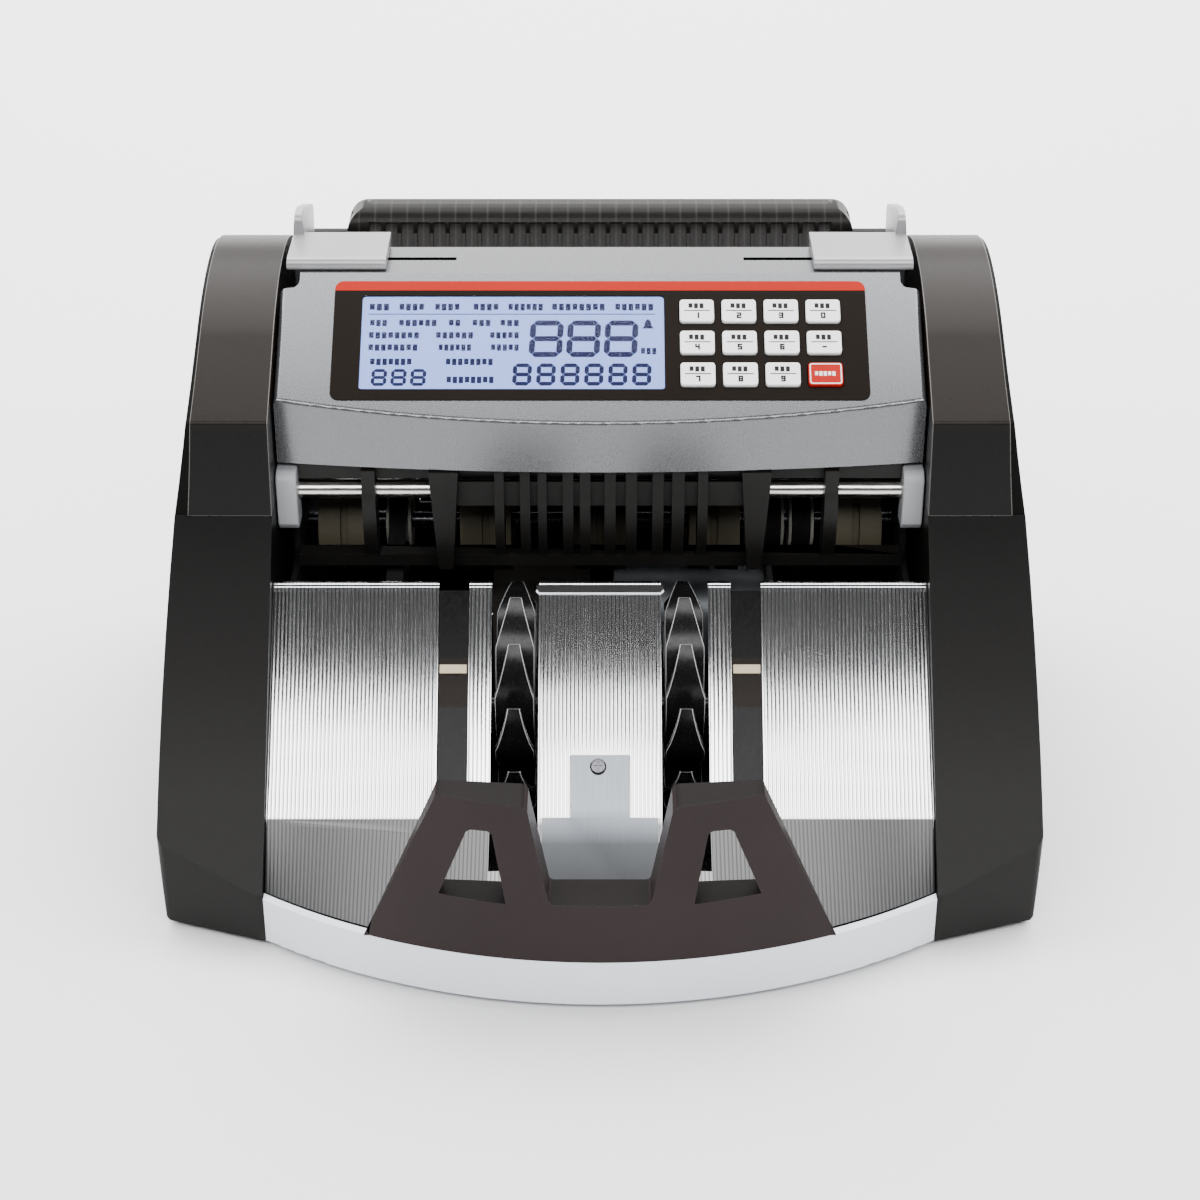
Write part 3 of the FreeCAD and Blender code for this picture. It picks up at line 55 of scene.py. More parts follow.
# ---------------------------------------------------------------- materials
class Nodes:
    """Builds a node tree for one material."""

    def __init__(self, name):
        self.material = bpy.data.materials.new(name)
        self.material.use_nodes = True
        self.tree = self.material.node_tree
        self.shader = self.tree.nodes["Principled BSDF"]
        coords = self.add("ShaderNodeTexCoord")
        self.place = coords.outputs["Object"]

    def add(self, kind, **settings):
        item = self.tree.nodes.new(kind)
        for key, value in settings.items():
            setattr(item, key, value)
        return item

    def link(self, output, target):
        self.tree.links.new(output, target)

    def stretched(self, factors):
        """Object coordinates scaled per axis, for brushed and drawn surfaces."""
        mapping = self.add("ShaderNodeMapping")
        mapping.inputs["Scale"].default_value = factors
        self.link(self.place, mapping.inputs["Vector"])
        return mapping.outputs["Vector"]

    def noise(self, scale, detail=2.0, vector=None):
        texture = self.add("ShaderNodeTexNoise")
        texture.inputs["Scale"].default_value = scale
        texture.inputs["Detail"].default_value = detail
        self.link(vector or self.place, texture.inputs["Vector"])
        return texture.outputs["Fac"]

    def ramp(self, source, low, high):
        """Maps noise, which stays near the middle of 0 to 1, onto low to high."""
        item = self.add("ShaderNodeMapRange")
        item.inputs["From Min"].default_value = 0.3
        item.inputs["From Max"].default_value = 0.7
        item.inputs["To Min"].default_value = low
        item.inputs["To Max"].default_value = high
        self.link(source, item.inputs["Value"])
        return item.outputs["Result"]

    def shade(self, fac, dark, light):
        mix = self.add("ShaderNodeMix", data_type="RGBA")
        mix.inputs["A"].default_value = (*dark, 1)
        mix.inputs["B"].default_value = (*light, 1)
        self.link(fac, mix.inputs["Factor"])
        return mix.outputs["Result"]

    def by_height(self, stops, blend):
        """Colours laid over a span of height, to paint light and shade; stops are (height in mm, colour) from
        the bottom up.
        """
        split = self.add("ShaderNodeSeparateXYZ")
        self.link(self.add("ShaderNodeNewGeometry").outputs["Position"], split.inputs["Vector"])
        low, high = stops[0][0], stops[-1][0]
        span = self.add("ShaderNodeMapRange")
        span.inputs["From Min"].default_value = low * MM
        span.inputs["From Max"].default_value = high * MM
        self.link(split.outputs["Z"], span.inputs["Value"])
        item = self.add("ShaderNodeValToRGB")
        item.color_ramp.interpolation = blend
        while len(item.color_ramp.elements) < len(stops):
            item.color_ramp.elements.new(0.5)
        for element, (height, colour) in zip(item.color_ramp.elements, stops):
            element.position = (height - low) / (high - low)
            element.color = (*colour, 1)
        self.link(span.outputs["Result"], item.inputs["Fac"])
        return item.outputs["Color"]

    def scaled(self, tint, factor):
        """A colour multiplied by a grey factor."""
        item = self.add("ShaderNodeVectorMath", operation="MULTIPLY")
        self.link(tint, item.inputs[0])
        self.link(factor, item.inputs[1])
        return item.outputs["Vector"]

    def paint_rib_lines(self, tint, pitch, share, factor):
        """Painted light and shade of ribs: lines along the object's depth, one every pitch mm, each covering
        a share of it. A factor under 1 paints shade in the grooves, one over 1 paints highlights on the ribs.
        """
        split = self.add("ShaderNodeSeparateXYZ")
        self.link(self.place, split.inputs["Vector"])
        fold = self.add("ShaderNodeMath", operation="PINGPONG")
        fold.inputs[1].default_value = pitch * MM / 2
        self.link(split.outputs["X"], fold.inputs[0])
        half_line = pitch * MM / 2 * share
        span = self.add("ShaderNodeMapRange")
        span.inputs["From Min"].default_value = half_line * 0.5
        span.inputs["From Max"].default_value = half_line * 1.5
        span.inputs["To Min"].default_value = factor
        span.inputs["To Max"].default_value = 1.0
        self.link(fold.outputs[0], span.inputs["Value"])
        return self.scaled(tint, span.outputs["Result"])

    def shaded_top(self, tint, factor):
        """Painted shade: faces that look up take a darker tone."""
        split = self.add("ShaderNodeSeparateXYZ")
        self.link(self.add("ShaderNodeNewGeometry").outputs["Normal"], split.inputs["Vector"])
        span = self.add("ShaderNodeMapRange")
        span.inputs["From Min"].default_value, span.inputs["From Max"].default_value = LOOKS_UP
        span.inputs["To Min"].default_value = 1.0
        span.inputs["To Max"].default_value = factor
        self.link(split.outputs["Z"], span.inputs["Value"])
        return self.scaled(tint, span.outputs["Result"])

    def bump(self, height, depth):
        item = self.add("ShaderNodeBump")
        item.inputs["Distance"].default_value = depth
        self.link(height, item.inputs["Height"])
        return item.outputs["Normal"]


def surface(name, colour, rough, metallic=0.0, grain=900.0, depth=0.00003, mottle=0.06, rough_range=0.06,
            stretch=None, specular=0.5, zones=None, blend="LINEAR", lines=None, top_shade=None):
    """A moulded, painted or brushed finish with grain bump and uneven gloss.

    The colour has soft clouds. With zones it is None, and the tint follows the height instead, as painted
    light and shade. lines is (pitch mm, share, factor) and paints the light and shade of ribs, and top_shade
    paints shade on the faces that look up.
    """
    n = Nodes(name)
    if zones:
        tint = n.by_height(zones, blend)
    else:
        dark = [c * (1 - mottle) for c in colour]
        light = [min(1.0, c * (1 + mottle)) for c in colour]
        tint = n.shade(n.ramp(n.noise(CLOUD_SCALE, 4.0), 0.0, 1.0), dark, light)
    if lines:
        tint = n.paint_rib_lines(tint, *lines)
    if top_shade:
        tint = n.shaded_top(tint, top_shade)
    n.link(tint, n.shader.inputs["Base Color"])
    fine = n.noise(grain, 3.0, n.stretched(stretch) if stretch else None)
    n.link(n.ramp(fine, rough - rough_range, rough + rough_range), n.shader.inputs["Roughness"])
    if depth:
        n.link(n.bump(fine, depth), n.shader.inputs["Normal"])
    n.shader.inputs["Metallic"].default_value = metallic
    n.shader.inputs["Specular IOR Level"].default_value = specular
    return n.material


def lit_screen(name, colour, strength):
    """A backlit display: a dark diffuser with faint unevenness, which glows."""
    n = Nodes(name)
    glow = n.shade(n.ramp(n.noise(14.0, 1.0), 0.0, 1.0), [c * 0.94 for c in colour], colour)
    n.shader.inputs["Base Color"].default_value = (*[c * 0.15 for c in colour], 1)
    n.shader.inputs["Specular IOR Level"].default_value = 0.1
    n.link(glow, n.shader.inputs["Emission Color"])
    n.shader.inputs["Emission Strength"].default_value = strength
    n.link(n.ramp(n.noise(600.0), 0.25, 0.35), n.shader.inputs["Roughness"])
    return n.material


def clear_pane(name):
    n = Nodes(name)
    n.link(n.shade(n.noise(20.0), (0.02, 0.02, 0.02), (0.03, 0.03, 0.03)), n.shader.inputs["Base Color"])
    n.link(n.ramp(n.noise(500.0), 0.03, 0.08), n.shader.inputs["Roughness"])
    n.shader.inputs["Alpha"].default_value = 0.08
    return n.material


LOOK = {
    "shell": surface("shell_dark", (0.0075, 0.0072, 0.0068), 0.34, depth=0.00002, grain=1400, specular=0.055),
    # Painted light: the side panels are lighter towards the bottom and darker higher up, laid by height.
    "side": surface("shell_side_painted_light", None, 0.34, depth=0.00002, grain=1400, specular=0.055,
                    zones=((6.0, (0.017, 0.0165, 0.016)), (45.0, (0.0150, 0.0145, 0.014)),
                           (75.0, (0.0075, 0.0070, 0.0066)), (112.0, (0.0034, 0.0032, 0.0030)),
                           (190.0, (0.0034, 0.0032, 0.0030)))),
    # Painted light: the shoulder cap is lighter and browner from 150 mm up, standing in for light falling on
    # its top.
    "cap": surface("shoulder_brown_painted_lit_top", None, 0.33, depth=0.00002, grain=1400, specular=0.16,
                   zones=((100.0, (0.0034, 0.0032, 0.0031)), (144.0, (0.0036, 0.0034, 0.0033)),
                          (150.0, (0.0085, 0.0055, 0.0036)), (190.0, (0.0085, 0.0055, 0.0036)))),
    "cover": surface("silver_paint", (0.150, 0.153, 0.160), 0.25, metallic=0.75, grain=2600, depth=0.000002,
                     mottle=0.02),
    "rim": surface("rim_silver", (0.80, 0.83, 0.90), 0.34, grain=2600, depth=0.00001, mottle=0.02),
    # Painted shade: the plate is darker below 38 mm, on its floor part, and dark lines every 1.3 mm paint
    # shade in its rib grooves.
    "plate": surface("bright_plate", None, 0.075, metallic=1.0, grain=700, depth=0,
                     rough_range=0.015, lines=(1.3, 0.3, 0.45),
                     zones=((15.0, (0.13, 0.13, 0.132)), (37.0, (0.13, 0.13, 0.132)),
                            (38.5, (0.74, 0.74, 0.75)), (100.0, (0.74, 0.74, 0.75))),
                     stretch=(4, 0.04, 0.04)),
    # Painted shade: the floor ribs take a darker tone than the steep ribs, with painted shade lines in their
    # grooves.
    "plate_floor": surface("bright_floor_painted_shade", (0.135, 0.135, 0.137), 0.50, metallic=1.0,
                           lines=(1.3, 0.3, 0.6), grain=700, depth=0, mottle=0.03, rough_range=0.03,
                           stretch=(4, 0.04, 0.04)),
    # Painted shade: the tongue grows darker towards its floor part, laid by height.
    "tongue": surface("smooth_plate_painted_shade", None, 0.24, metallic=0.9, grain=700, depth=0,
                      rough_range=0.03, stretch=(4, 0.1, 0.1),
                      zones=((19.5, (0.016, 0.017, 0.018)), (30.0, (0.020, 0.021, 0.022)),
                             (35.0, (0.035, 0.037, 0.04)), (38.0, (0.105, 0.112, 0.124)),
                             (41.0, (0.15, 0.162, 0.18)))),
    "tray": surface("tray_black", (0.008, 0.008, 0.008), 0.6, specular=0.2),
    "rubber": surface("rubber_black", (0.008, 0.008, 0.008), 0.72, grain=600, depth=0.00008, specular=0.15),
    "beige": surface("rubber_beige", (0.085, 0.075, 0.050), 0.6, grain=700, depth=0.00008, mottle=0.1,
                     specular=0.3),
    "steel": surface("steel_rod", (0.62, 0.60, 0.57), 0.2, metallic=1.0, grain=900, depth=0.000006,
                     stretch=(0.2, 4, 4)),
    "frame": surface("frame_black", (0.008, 0.008, 0.008), 0.5, specular=0.2),
    # Painted reflection: lighter grey and brown bands lower down on the slot covers, laid by height.
    "smoke": surface("smoked_cover_painted_reflection", None, 0.22, depth=0.000006, specular=0.10,
                     zones=((30.0, (0.010, 0.010, 0.011)), (64.0, (0.007, 0.0035, 0.0018)),
                            (76.0, (0.0015, 0.0015, 0.0015)), (100.0, (0.0015, 0.0015, 0.0015))),
                     blend="CONSTANT"),
    "bar": surface("sensor_beige", (0.50, 0.42, 0.28), 0.3, depth=0.00002),
    # Painted shade: the stopper's faces that look up are darkened.
    "stopper": surface("stopper_brown", (0.027, 0.020, 0.020), 0.36, grain=1500, depth=0.00003,
                       specular=0.06, top_shade=0.3),
    "paddle": surface("paddle_black", (0.005, 0.005, 0.005), 0.24, depth=0, specular=0.25),
    # Painted highlights: lighter colours for the rounded edges of the impellers, stopper, top cover and
    # shoulder caps.
    "paddle_edge_highlight": surface("paddle_painted_highlight", (0.42, 0.42, 0.43), 0.25, depth=0, specular=0.5),
    "stopper_edge_highlight": surface("stopper_painted_highlight", (0.14, 0.13, 0.13), 0.16, depth=0, specular=0.6),
    "cover_edge_highlight": surface("cover_painted_highlight", (0.62, 0.62, 0.64), 0.2, metallic=0.3, depth=0),
    "cap_edge_highlight": surface("cap_painted_highlight", (0.09, 0.085, 0.08), 0.3, depth=0),
    "screw": surface("screw_dark", (0.10, 0.10, 0.11), 0.25, metallic=1.0, depth=0),
    "comb": surface("comb_black", (0.007, 0.0065, 0.006), 0.42, grain=1200, specular=0.2),
    "bezel": surface("bezel_black", (0.007, 0.0045, 0.003), 0.34, grain=2200, depth=0.000006, mottle=0.1,
                     specular=0.05),
    "red": surface("panel_red", (0.36, 0.010, 0.003), 0.4, grain=2200, depth=0.000006, mottle=0.03,
                   specular=0.1),
    "key": surface("key_white", (0.93, 0.93, 0.93), 0.4, grain=2200, depth=0.000006, mottle=0.01),
    "key_red": surface("key_red", (0.36, 0.009, 0.005), 0.4, grain=2200, depth=0.000006, mottle=0.03,
                       specular=0.1),
    "ink": surface("legend_ink", (0.012, 0.012, 0.014), 0.5, mottle=0.02, specular=0.1),
    "ink_white": surface("legend_white", (0.85, 0.80, 0.78), 0.5, mottle=0.02),
    "segment": surface("lcd_segment", (0.008, 0.010, 0.060), 0.4, mottle=0.05, specular=0.1),
    # Painted highlights: thin light lines every 5.8 mm on the hopper back stand in for its ribs catching
    # light.
    "hopper": surface("hopper_grey", (0.0085, 0.0075, 0.0068), 0.34, grain=1300, specular=0.12,
                      lines=(5.8, 0.12, 3.0)),
    "guide": surface("guide_silver", (0.32, 0.32, 0.33), 0.35, metallic=0.4, grain=2400, depth=0.000006),
    "white": surface("bracket_white", (0.36, 0.37, 0.39), 0.42, grain=1200),
    "pulley": surface("pulley_white", (0.30, 0.29, 0.26), 0.45, grain=1200),
    "motor": surface("motor_can", (0.14, 0.15, 0.16), 0.4, metallic=0.7, grain=1500),
    "pcb": surface("board_green", (0.008, 0.05, 0.02), 0.45, grain=1000),
    "core": surface("transformer_core", (0.10, 0.09, 0.08), 0.5, metallic=0.5, grain=900, stretch=(1, 1, 9)),
    "screen": lit_screen("lcd_backlight", (0.34, 0.49, 1.10), 2.0),
    "pane": clear_pane("clear_window"),
}

CAD_LOOKS = {
    "side": ["left_side_panel", "right_side_panel"],
    "shell": ["rear_panel", "rear_door"],
    "cap": ["left_shoulder_cap", "right_shoulder_cap"],
    "cover": ["top_cover"],
    "rim": ["front_rim"],
    "plate": ["stacker_plate"],
    "tongue": ["tongue_plate"],
    "tray": ["base_tray"],
    "rubber": ["rubber_feet", "feed_rollers", "belts"],
    "beige": ["main_rollers"],
    "screw": ["tongue_screw", "impeller_shaft", "main_shaft", "feed_shaft", "cross_bars"],
    "steel": ["guide_shaft"],
    "frame": ["left_side_frame", "right_side_frame", "display_board"],
    "smoke": ["slot_covers"],
    "bar": ["sensor_windows"],
    "stopper": ["stopper"],
    "paddle": ["impellers", "separator", "thickness_knob", "power_inlet", "switch_frame"],
    "comb": ["outlet_comb"],
    "bezel": ["panel_bezel"],
    "red": ["panel_strip"],
    "key": [f"key_{i}" for i in range(1, 12)],
    "key_red": ["key_12", "power_rocker"],
    "hopper": ["hopper_back"],
    "guide": ["left_hopper_guide", "right_hopper_guide"],
    "white": ["shaft_brackets"],
    "pulley": ["impeller_pulley", "main_pulleys", "feed_pulley", "motor_shaft"],
    "motor": ["motor"],
    "pcb": ["main_board"],
    "core": ["transformer"],
    "pane": ["display_glass"],
}
# Width in mm of the rounds on each part's hard edges.
SOFT_EDGE = {
    "left_side_panel": 0.8, "right_side_panel": 0.8, "left_shoulder_cap": 0.3, "right_shoulder_cap": 0.3,
    "stopper": 0.3, "top_cover": 0.8, "front_rim": 0.2, "hopper_back": 0.25, "impellers": 0.16,
    "shaft_brackets": 0.6, "outlet_comb": 0.4, "left_hopper_guide": 0.6, "right_hopper_guide": 0.6,
    "tongue_plate": 0.12, "panel_bezel": 0.08, "panel_strip": 0.08, "display_glass": 0.1,
    "sensor_windows": 0.2, "slot_covers": 0.2, "tongue_screw": 0.08, "rear_panel": 0.3, "rear_door": 0.4,
}
KEY_EDGE = 0.35
PLAIN_EDGE = 0.25
# The distance is in metres and the angles are in degrees.
MERGE_DISTANCE = 2e-6
FLAT_ANGLE = 0.6
ROUND_ANGLE = 32.0
COVER_ROUND_ANGLE = 20.0
CRISP_ANGLE = 35.0
# Parts whose faces have holes or fine curves, which joining flat faces would spoil.
KEEP_FACES = ("impellers", "stopper", "rear_panel")
# Parts whose rounded edges carry a painted highlight: a lighter colour on the bevel faces.
PAINTED_EDGE_HIGHLIGHT = {
    "impellers": "paddle_edge_highlight", "stopper": "stopper_edge_highlight", "top_cover": "cover_edge_highlight",
    "left_shoulder_cap": "cap_edge_highlight", "right_shoulder_cap": "cap_edge_highlight",
}


def crease_group(angle):
    """Geometry nodes that keep every edge sharper than the angle crisp in the shading."""
    group = bpy.data.node_groups.new("crisp_edges", "GeometryNodeTree")
    for way in ("INPUT", "OUTPUT"):
        group.interface.new_socket("Geometry", in_out=way, socket_type="NodeSocketGeometry")
    start, end = group.nodes.new("NodeGroupInput"), group.nodes.new("NodeGroupOutput")
    bend = group.nodes.new("GeometryNodeInputMeshEdgeAngle")
    steep = group.nodes.new("FunctionNodeCompare")
    steep.data_type, steep.operation = "FLOAT", "GREATER_THAN"
    steep.inputs[1].default_value = math.radians(angle)
    shade = group.nodes.new("GeometryNodeSetShadeSmooth")
    shade.domain = "EDGE"
    shade.inputs["Shade Smooth"].default_value = False
    group.links.new(start.outputs[0], shade.inputs[0])
    group.links.new(bend.outputs["Unsigned Angle"], steep.inputs[0])
    group.links.new(steep.outputs[0], shade.inputs["Selection"])
    group.links.new(shade.outputs[0], end.inputs[0])
    return group


CRISP = crease_group(CRISP_ANGLE)


def soften(obj, name, width_mm, angle):
    """Small rounds on the hard edges and smooth shading elsewhere."""
    for polygon in obj.data.polygons:
        polygon.use_smooth = True
    weld = obj.modifiers.new("weld", "WELD")
    weld.merge_threshold = MERGE_DISTANCE
    if name not in KEEP_FACES:
        flat = obj.modifiers.new("flat", "DECIMATE")
        flat.decimate_type = "DISSOLVE"
        flat.angle_limit = math.radians(FLAT_ANGLE)
    bevel = obj.modifiers.new("rounds", "BEVEL")
    bevel.width = width_mm * MM
    bevel.segments = 3
    bevel.limit_method = "ANGLE"
    bevel.angle_limit = math.radians(angle)
    bevel.miter_outer = "MITER_ARC"
    # Painted highlight: the bevel faces take the part's lighter edge colour.
    if name in PAINTED_EDGE_HIGHLIGHT:
        obj.data.materials.append(LOOK[PAINTED_EDGE_HIGHLIGHT[name]])
        bevel.material = 1
    obj.modifiers.new("crisp", "NODES").node_group = CRISP
    normals = obj.modifiers.new("normals", "WEIGHTED_NORMAL")
    normals.keep_sharp = True


for look, names in CAD_LOOKS.items():
    for name in names:
        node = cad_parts[name]
        node.data.materials.clear()
        node.data.materials.append(LOOK[look])
        width = KEY_EDGE if name.startswith("key_") else SOFT_EDGE.get(name, PLAIN_EDGE)
        if name != "stacker_plate":
            soften(node, name, width, COVER_ROUND_ANGLE if name == "top_cover" else ROUND_ANGLE)


# ---------------------------------------------------------------- mesh helpers
def add_piece(name, bm, look, body):
    """Turns a bmesh into a piece that rides on a body."""
    mesh = bpy.data.meshes.new(name)
    bmesh.ops.recalc_face_normals(bm, faces=bm.faces)
    bm.to_mesh(mesh)
    bm.free()
    obj = bpy.data.objects.new(name, mesh)
    bpy.context.scene.collection.objects.link(obj)
    mesh.materials.append(LOOK[look])
    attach(obj, body)
    return obj


def closed_solid(bm, low_points, high_points):
    """A closed solid between two outlines that match point for point."""
    low = [bm.verts.new(point) for point in low_points]
    high = [bm.verts.new(point) for point in high_points]
    bm.faces.new(low[::-1])
    bm.faces.new(high)
    for i in range(len(low)):
        j = (i + 1) % len(low)
        bm.faces.new((low[i], low[j], high[j], high[i]))


def prism(bm, outline, z0, z1):
    """A closed prism over a flat outline of (x, y), between two heights."""
    closed_solid(bm, [(x, y, z0) for x, y in outline], [(x, y, z1) for x, y in outline])


# ---------------------------------------------------------------- control panel
# The panel's own axes, in mm: x across, y up the slope, z out of it. They come from the bezel's corners.
bezel_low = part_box("panel_bezel")[0]
strip_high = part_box("panel_strip")[1]
TILT = math.radians(34.2)
PANEL_LENGTH = 46.8
PROUD = 0.3
INSET = 0.05
foot_y = bezel_low[1] / MM + PROUD * math.sin(TILT) - INSET * math.cos(TILT)
top_z = strip_high[2] / MM - PROUD * math.cos(TILT) + INSET * math.sin(TILT)
CENTRE_Y = foot_y + PANEL_LENGTH / 2 * math.cos(TILT)
CENTRE_Z = top_z - PANEL_LENGTH / 2 * math.sin(TILT)
PANEL_CENTRE = Matrix.Translation((0, CENTRE_Y * MM, CENTRE_Z * MM))
PANEL = PANEL_CENTRE @ Matrix.Rotation(TILT, 4, "X") @ FROM_MM


def on_panel(name, bm, look, body):
    bm.transform(PANEL)
    return add_piece(name, bm, look, body)


def digit_segments(bm, x, y, w, h, stroke, slant, z0, z1):
    """A seven-segment eight. x, y is its lower left corner."""
    gap = stroke * 0.05
    half = stroke / 2

    def lean(points):
        return [(px + (py - y) * slant, py) for px, py in points]

    for yy in (y + half, y + h / 2, y + h - half):
        bar = [(x + half + gap, yy), (x + stroke + gap, yy - half), (x + w - stroke - gap, yy - half),
               (x + w - half - gap, yy), (x + w - stroke - gap, yy + half), (x + stroke + gap, yy + half)]
        prism(bm, lean(bar), z0, z1)
    for xx in (x + half, x + w - half):
        for y0, y1 in ((y + half, y + h / 2), (y + h / 2, y + h - half)):
            post = [(xx, y0 + gap), (xx + half, y0 + half + gap), (xx + half, y1 - half - gap),
                    (xx, y1 - gap), (xx - half, y1 - half - gap), (xx - half, y0 + half + gap)]
            prism(bm, lean(post), z0, z1)


def marks(bm, x0, x1, y, h, z0, z1):
    """A row of small blocks in place of a printed word."""
    count = max(2, round((x1 - x0) / (h * 0.82)))
    pitch = (x1 - x0) / count
    for i in range(count):
        left = x0 + i * pitch
        low = y - h / 2 + (0.0 if i % 3 else h * 0.12)
        right = left + pitch * 0.72
        prism(bm, [(left, low), (right, low), (right, y + h / 2), (left, y + h / 2)], z0, z1)


def rounded(x0, y0, x1, y1, r, steps=5):
    """Outline of a rectangle with round corners."""
    points = []
    left, right, low, high = x0 + r, x1 - r, y0 + r, y1 - r
    for cx, cy, turn in ((right, low, -90), (right, high, 0), (left, high, 90), (left, low, 180)):
        for i in range(steps + 1):
            a = math.radians(turn + 90 * i / steps)
            points.append((cx + r * math.cos(a), cy + r * math.sin(a)))
    return points


SCREEN_X, SCREEN_Y = -29.4, -0.8


def build_display():
    half_w, half_l, corner = 51.0, 18.3, 1.2
    low, high = (SCREEN_X - half_w, SCREEN_Y - half_l), (SCREEN_X + half_w, SCREEN_Y + half_l)
    outline = rounded(*low, *high, corner)
    pane = bmesh.new()
    prism(pane, outline, -0.2, 0.14)
    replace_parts(on_panel("display_window", pane, "pane", HOUSING), "display_glass")
    face = bmesh.new()
    prism(face, outline, -1.8, -0.5)
    on_panel("lcd_face", face, "screen", HOUSING)
    ink = bmesh.new()
    z = (-0.5, -0.44)
    for i in range(3):
        digit_segments(ink, -24.1 + 12.6 * i, -6.3, 11.3, 14.4, 2.05, 0.05, *z)
        digit_segments(ink, -76.6 + 6.55 * i, -17.5, 5.2, 6.5, 1.15, 0.05, *z)
    for i in range(6):
        digit_segments(ink, -29.4 + 8.0 * i, -17.4, 6.4, 8.6, 1.45, 0.04, *z)
    on_panel("lcd_digits", ink, "segment", HOUSING)
    words = bmesh.new()
    top_row = (
        (-78.0, -70.8), (-67.9, -59.0), (-55.8, -47.0), (-42.8, -33.8), (-31.0, -18.8), (-16.2, 2.2),
        (5.2, 18.6),
    )
    for x0, x1 in top_row:
        marks(words, x0, x1, 13.4, 2.7, *z)
    prism(words, [(-78.4, 10.45), (18.8, 10.45), (18.8, 10.75), (-78.4, 10.75)], *z)
    for y, spans in (
        (7.1, ((-77.6, -71.4), (-67.8, -54.6), (-51.0, -46.6), (-43.0, -36.4), (-33.6, -26.8))),
        (2.2, ((-77.8, -60.4), (-55.2, -42.2), (-37.0, -26.8))),
        (-2.6, ((-77.8, -60.8), (-54.2, -42.8), (-36.6, -26.8))),
        (-8.2, ((-77.0, -62.6), (-51.6, -35.4))),
        (-15.2, ((-51.2, -35.0),)),
        (-4.0, ((13.8, 19.4),)),
    ):
        for x0, x1 in spans:
            marks(words, x0, x1, y, 2.5, *z)
    bell = [(14.2, 4.9), (18.2, 4.9), (17.4, 6.0), (17.2, 7.6), (16.2, 8.8), (15.2, 7.6), (15.0, 6.0)]
    prism(words, bell, *z)
    on_panel("lcd_marks", words, "segment", HOUSING)


KEY_X0, KEY_Y0, KEY_DX, KEY_DY = 32.7, 11.0, 14.2, 12.4
KEY_TOP = 1.3
LEGENDS = ("1", "2", "3", "0", "4", "5", "6", "-", "7", "8", "9", "")
STROKES = {
    "0": "abcdef", "1": "bc", "2": "abged", "3": "abgcd", "4": "fgbc", "5": "afgcd", "6": "afgecd",
    "7": "abc", "8": "abcdefg", "9": "abcdfg", "-": "g",
}


def numeral(bm, text, x, y, w, h, t, z0, z1):
    """A small printed numeral from straight strokes, centred on x, y."""
    l, r, b, m, u = x - w / 2, x + w / 2, y - h / 2, y, y + h / 2
    bars = {
        "a": (l, u - t, r, u), "g": (l, m - t / 2, r, m + t / 2), "d": (l, b, r, b + t),
        "f": (l, m, l + t, u), "b": (r - t, m, r, u), "e": (l, b, l + t, m), "c": (r - t, b, r, m),
    }
    for key in STROKES[text]:
        x0, y0, x1, y1 = bars[key]
        prism(bm, [(x0, y0), (x1, y0), (x1, y1), (x0, y1)], z0, z1)


def build_legends():
    z0, z1 = KEY_TOP - 0.01, KEY_TOP + 0.05
    for i, text in enumerate(LEGENDS):
        x = KEY_X0 + KEY_DX * (i % 4)
        y = KEY_Y0 - KEY_DY * (i // 4)
        body = f"key_{i + 1}_button"
        bm = bmesh.new()
        if text:
            marks(bm, x - 2.8, x + 2.8, y + 1.8, 2.0, z0, z1)
            left, right, low, high = x - 4.4, x + 4.4, y - 0.2, y + 0.15
            prism(bm, [(left, low), (right, low), (right, high), (left, high)], z0, z1)
            numeral(bm, text, x, y - 1.95, 1.6, 2.3, 0.6, z0, z1)
            on_panel(f"key_legend_{i + 1}", bm, "ink", body)
        else:
            outer = rounded(x - 5.35, y - 3.95, x + 5.35, y + 3.95, 0.9)
            inner = rounded(x - 4.95, y - 3.55, x + 4.95, y + 3.55, 0.6)
            for a in range(len(outer)):
                b = (a + 1) % len(outer)
                prism(bm, [outer[a], outer[b], inner[b], inner[a]], z0, z1)
            marks(bm, x - 3.6, x + 3.6, y, 1.7, z0, z1)
            on_panel(f"key_legend_{i + 1}", bm, "ink_white", body)


build_display()
build_legends()


# ---------------------------------------------------------------- fine ribs on the stacker plate
plate_high = [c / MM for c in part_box("stacker_plate")[1]]
PLATE_TOP = Vector((0, -17.9, 94.2))
PLATE_BEND = Vector((0, -72.0, 37.8))
FLOOR_EDGE = 19.4
FLOOR_RADIUS = 195.0
FLOOR_FRONT = -120.8
RIB_PITCH = 1.3
# One rib: how far across its pitch, and how high over the plate.
RIB_PROFILE = ((0.0, 0.02), (0.22, 0.12), (0.5, 0.17), (0.78, 0.12))
RIB_VALLEY = RIB_PROFILE[0][1]
# Height over the plate of the underside of the ribs and of the trim, which sit a little way into it.
RIB_BASE = -0.12
TRIM_BASE = -0.3
SLOPE = (PLATE_BEND - PLATE_TOP).normalized()
OUT = Vector((0, SLOPE.z, -SLOPE.y))


def front_edge(x):
    """The floor's front edge, which follows the tray's curve."""
    return Vector((x, FLOOR_FRONT + FLOOR_RADIUS - math.sqrt(FLOOR_RADIUS ** 2 - x * x), FLOOR_EDGE))


def steep_point(x, along, lift):
    return Vector((x, 0, 0)) + PLATE_TOP + SLOPE * along + OUT * lift


def floor_point(x, part, lift):
    bend = PLATE_BEND + Vector((x, 0, 0))
    return bend.lerp(front_edge(x), part) + Vector((0, 0, lift))


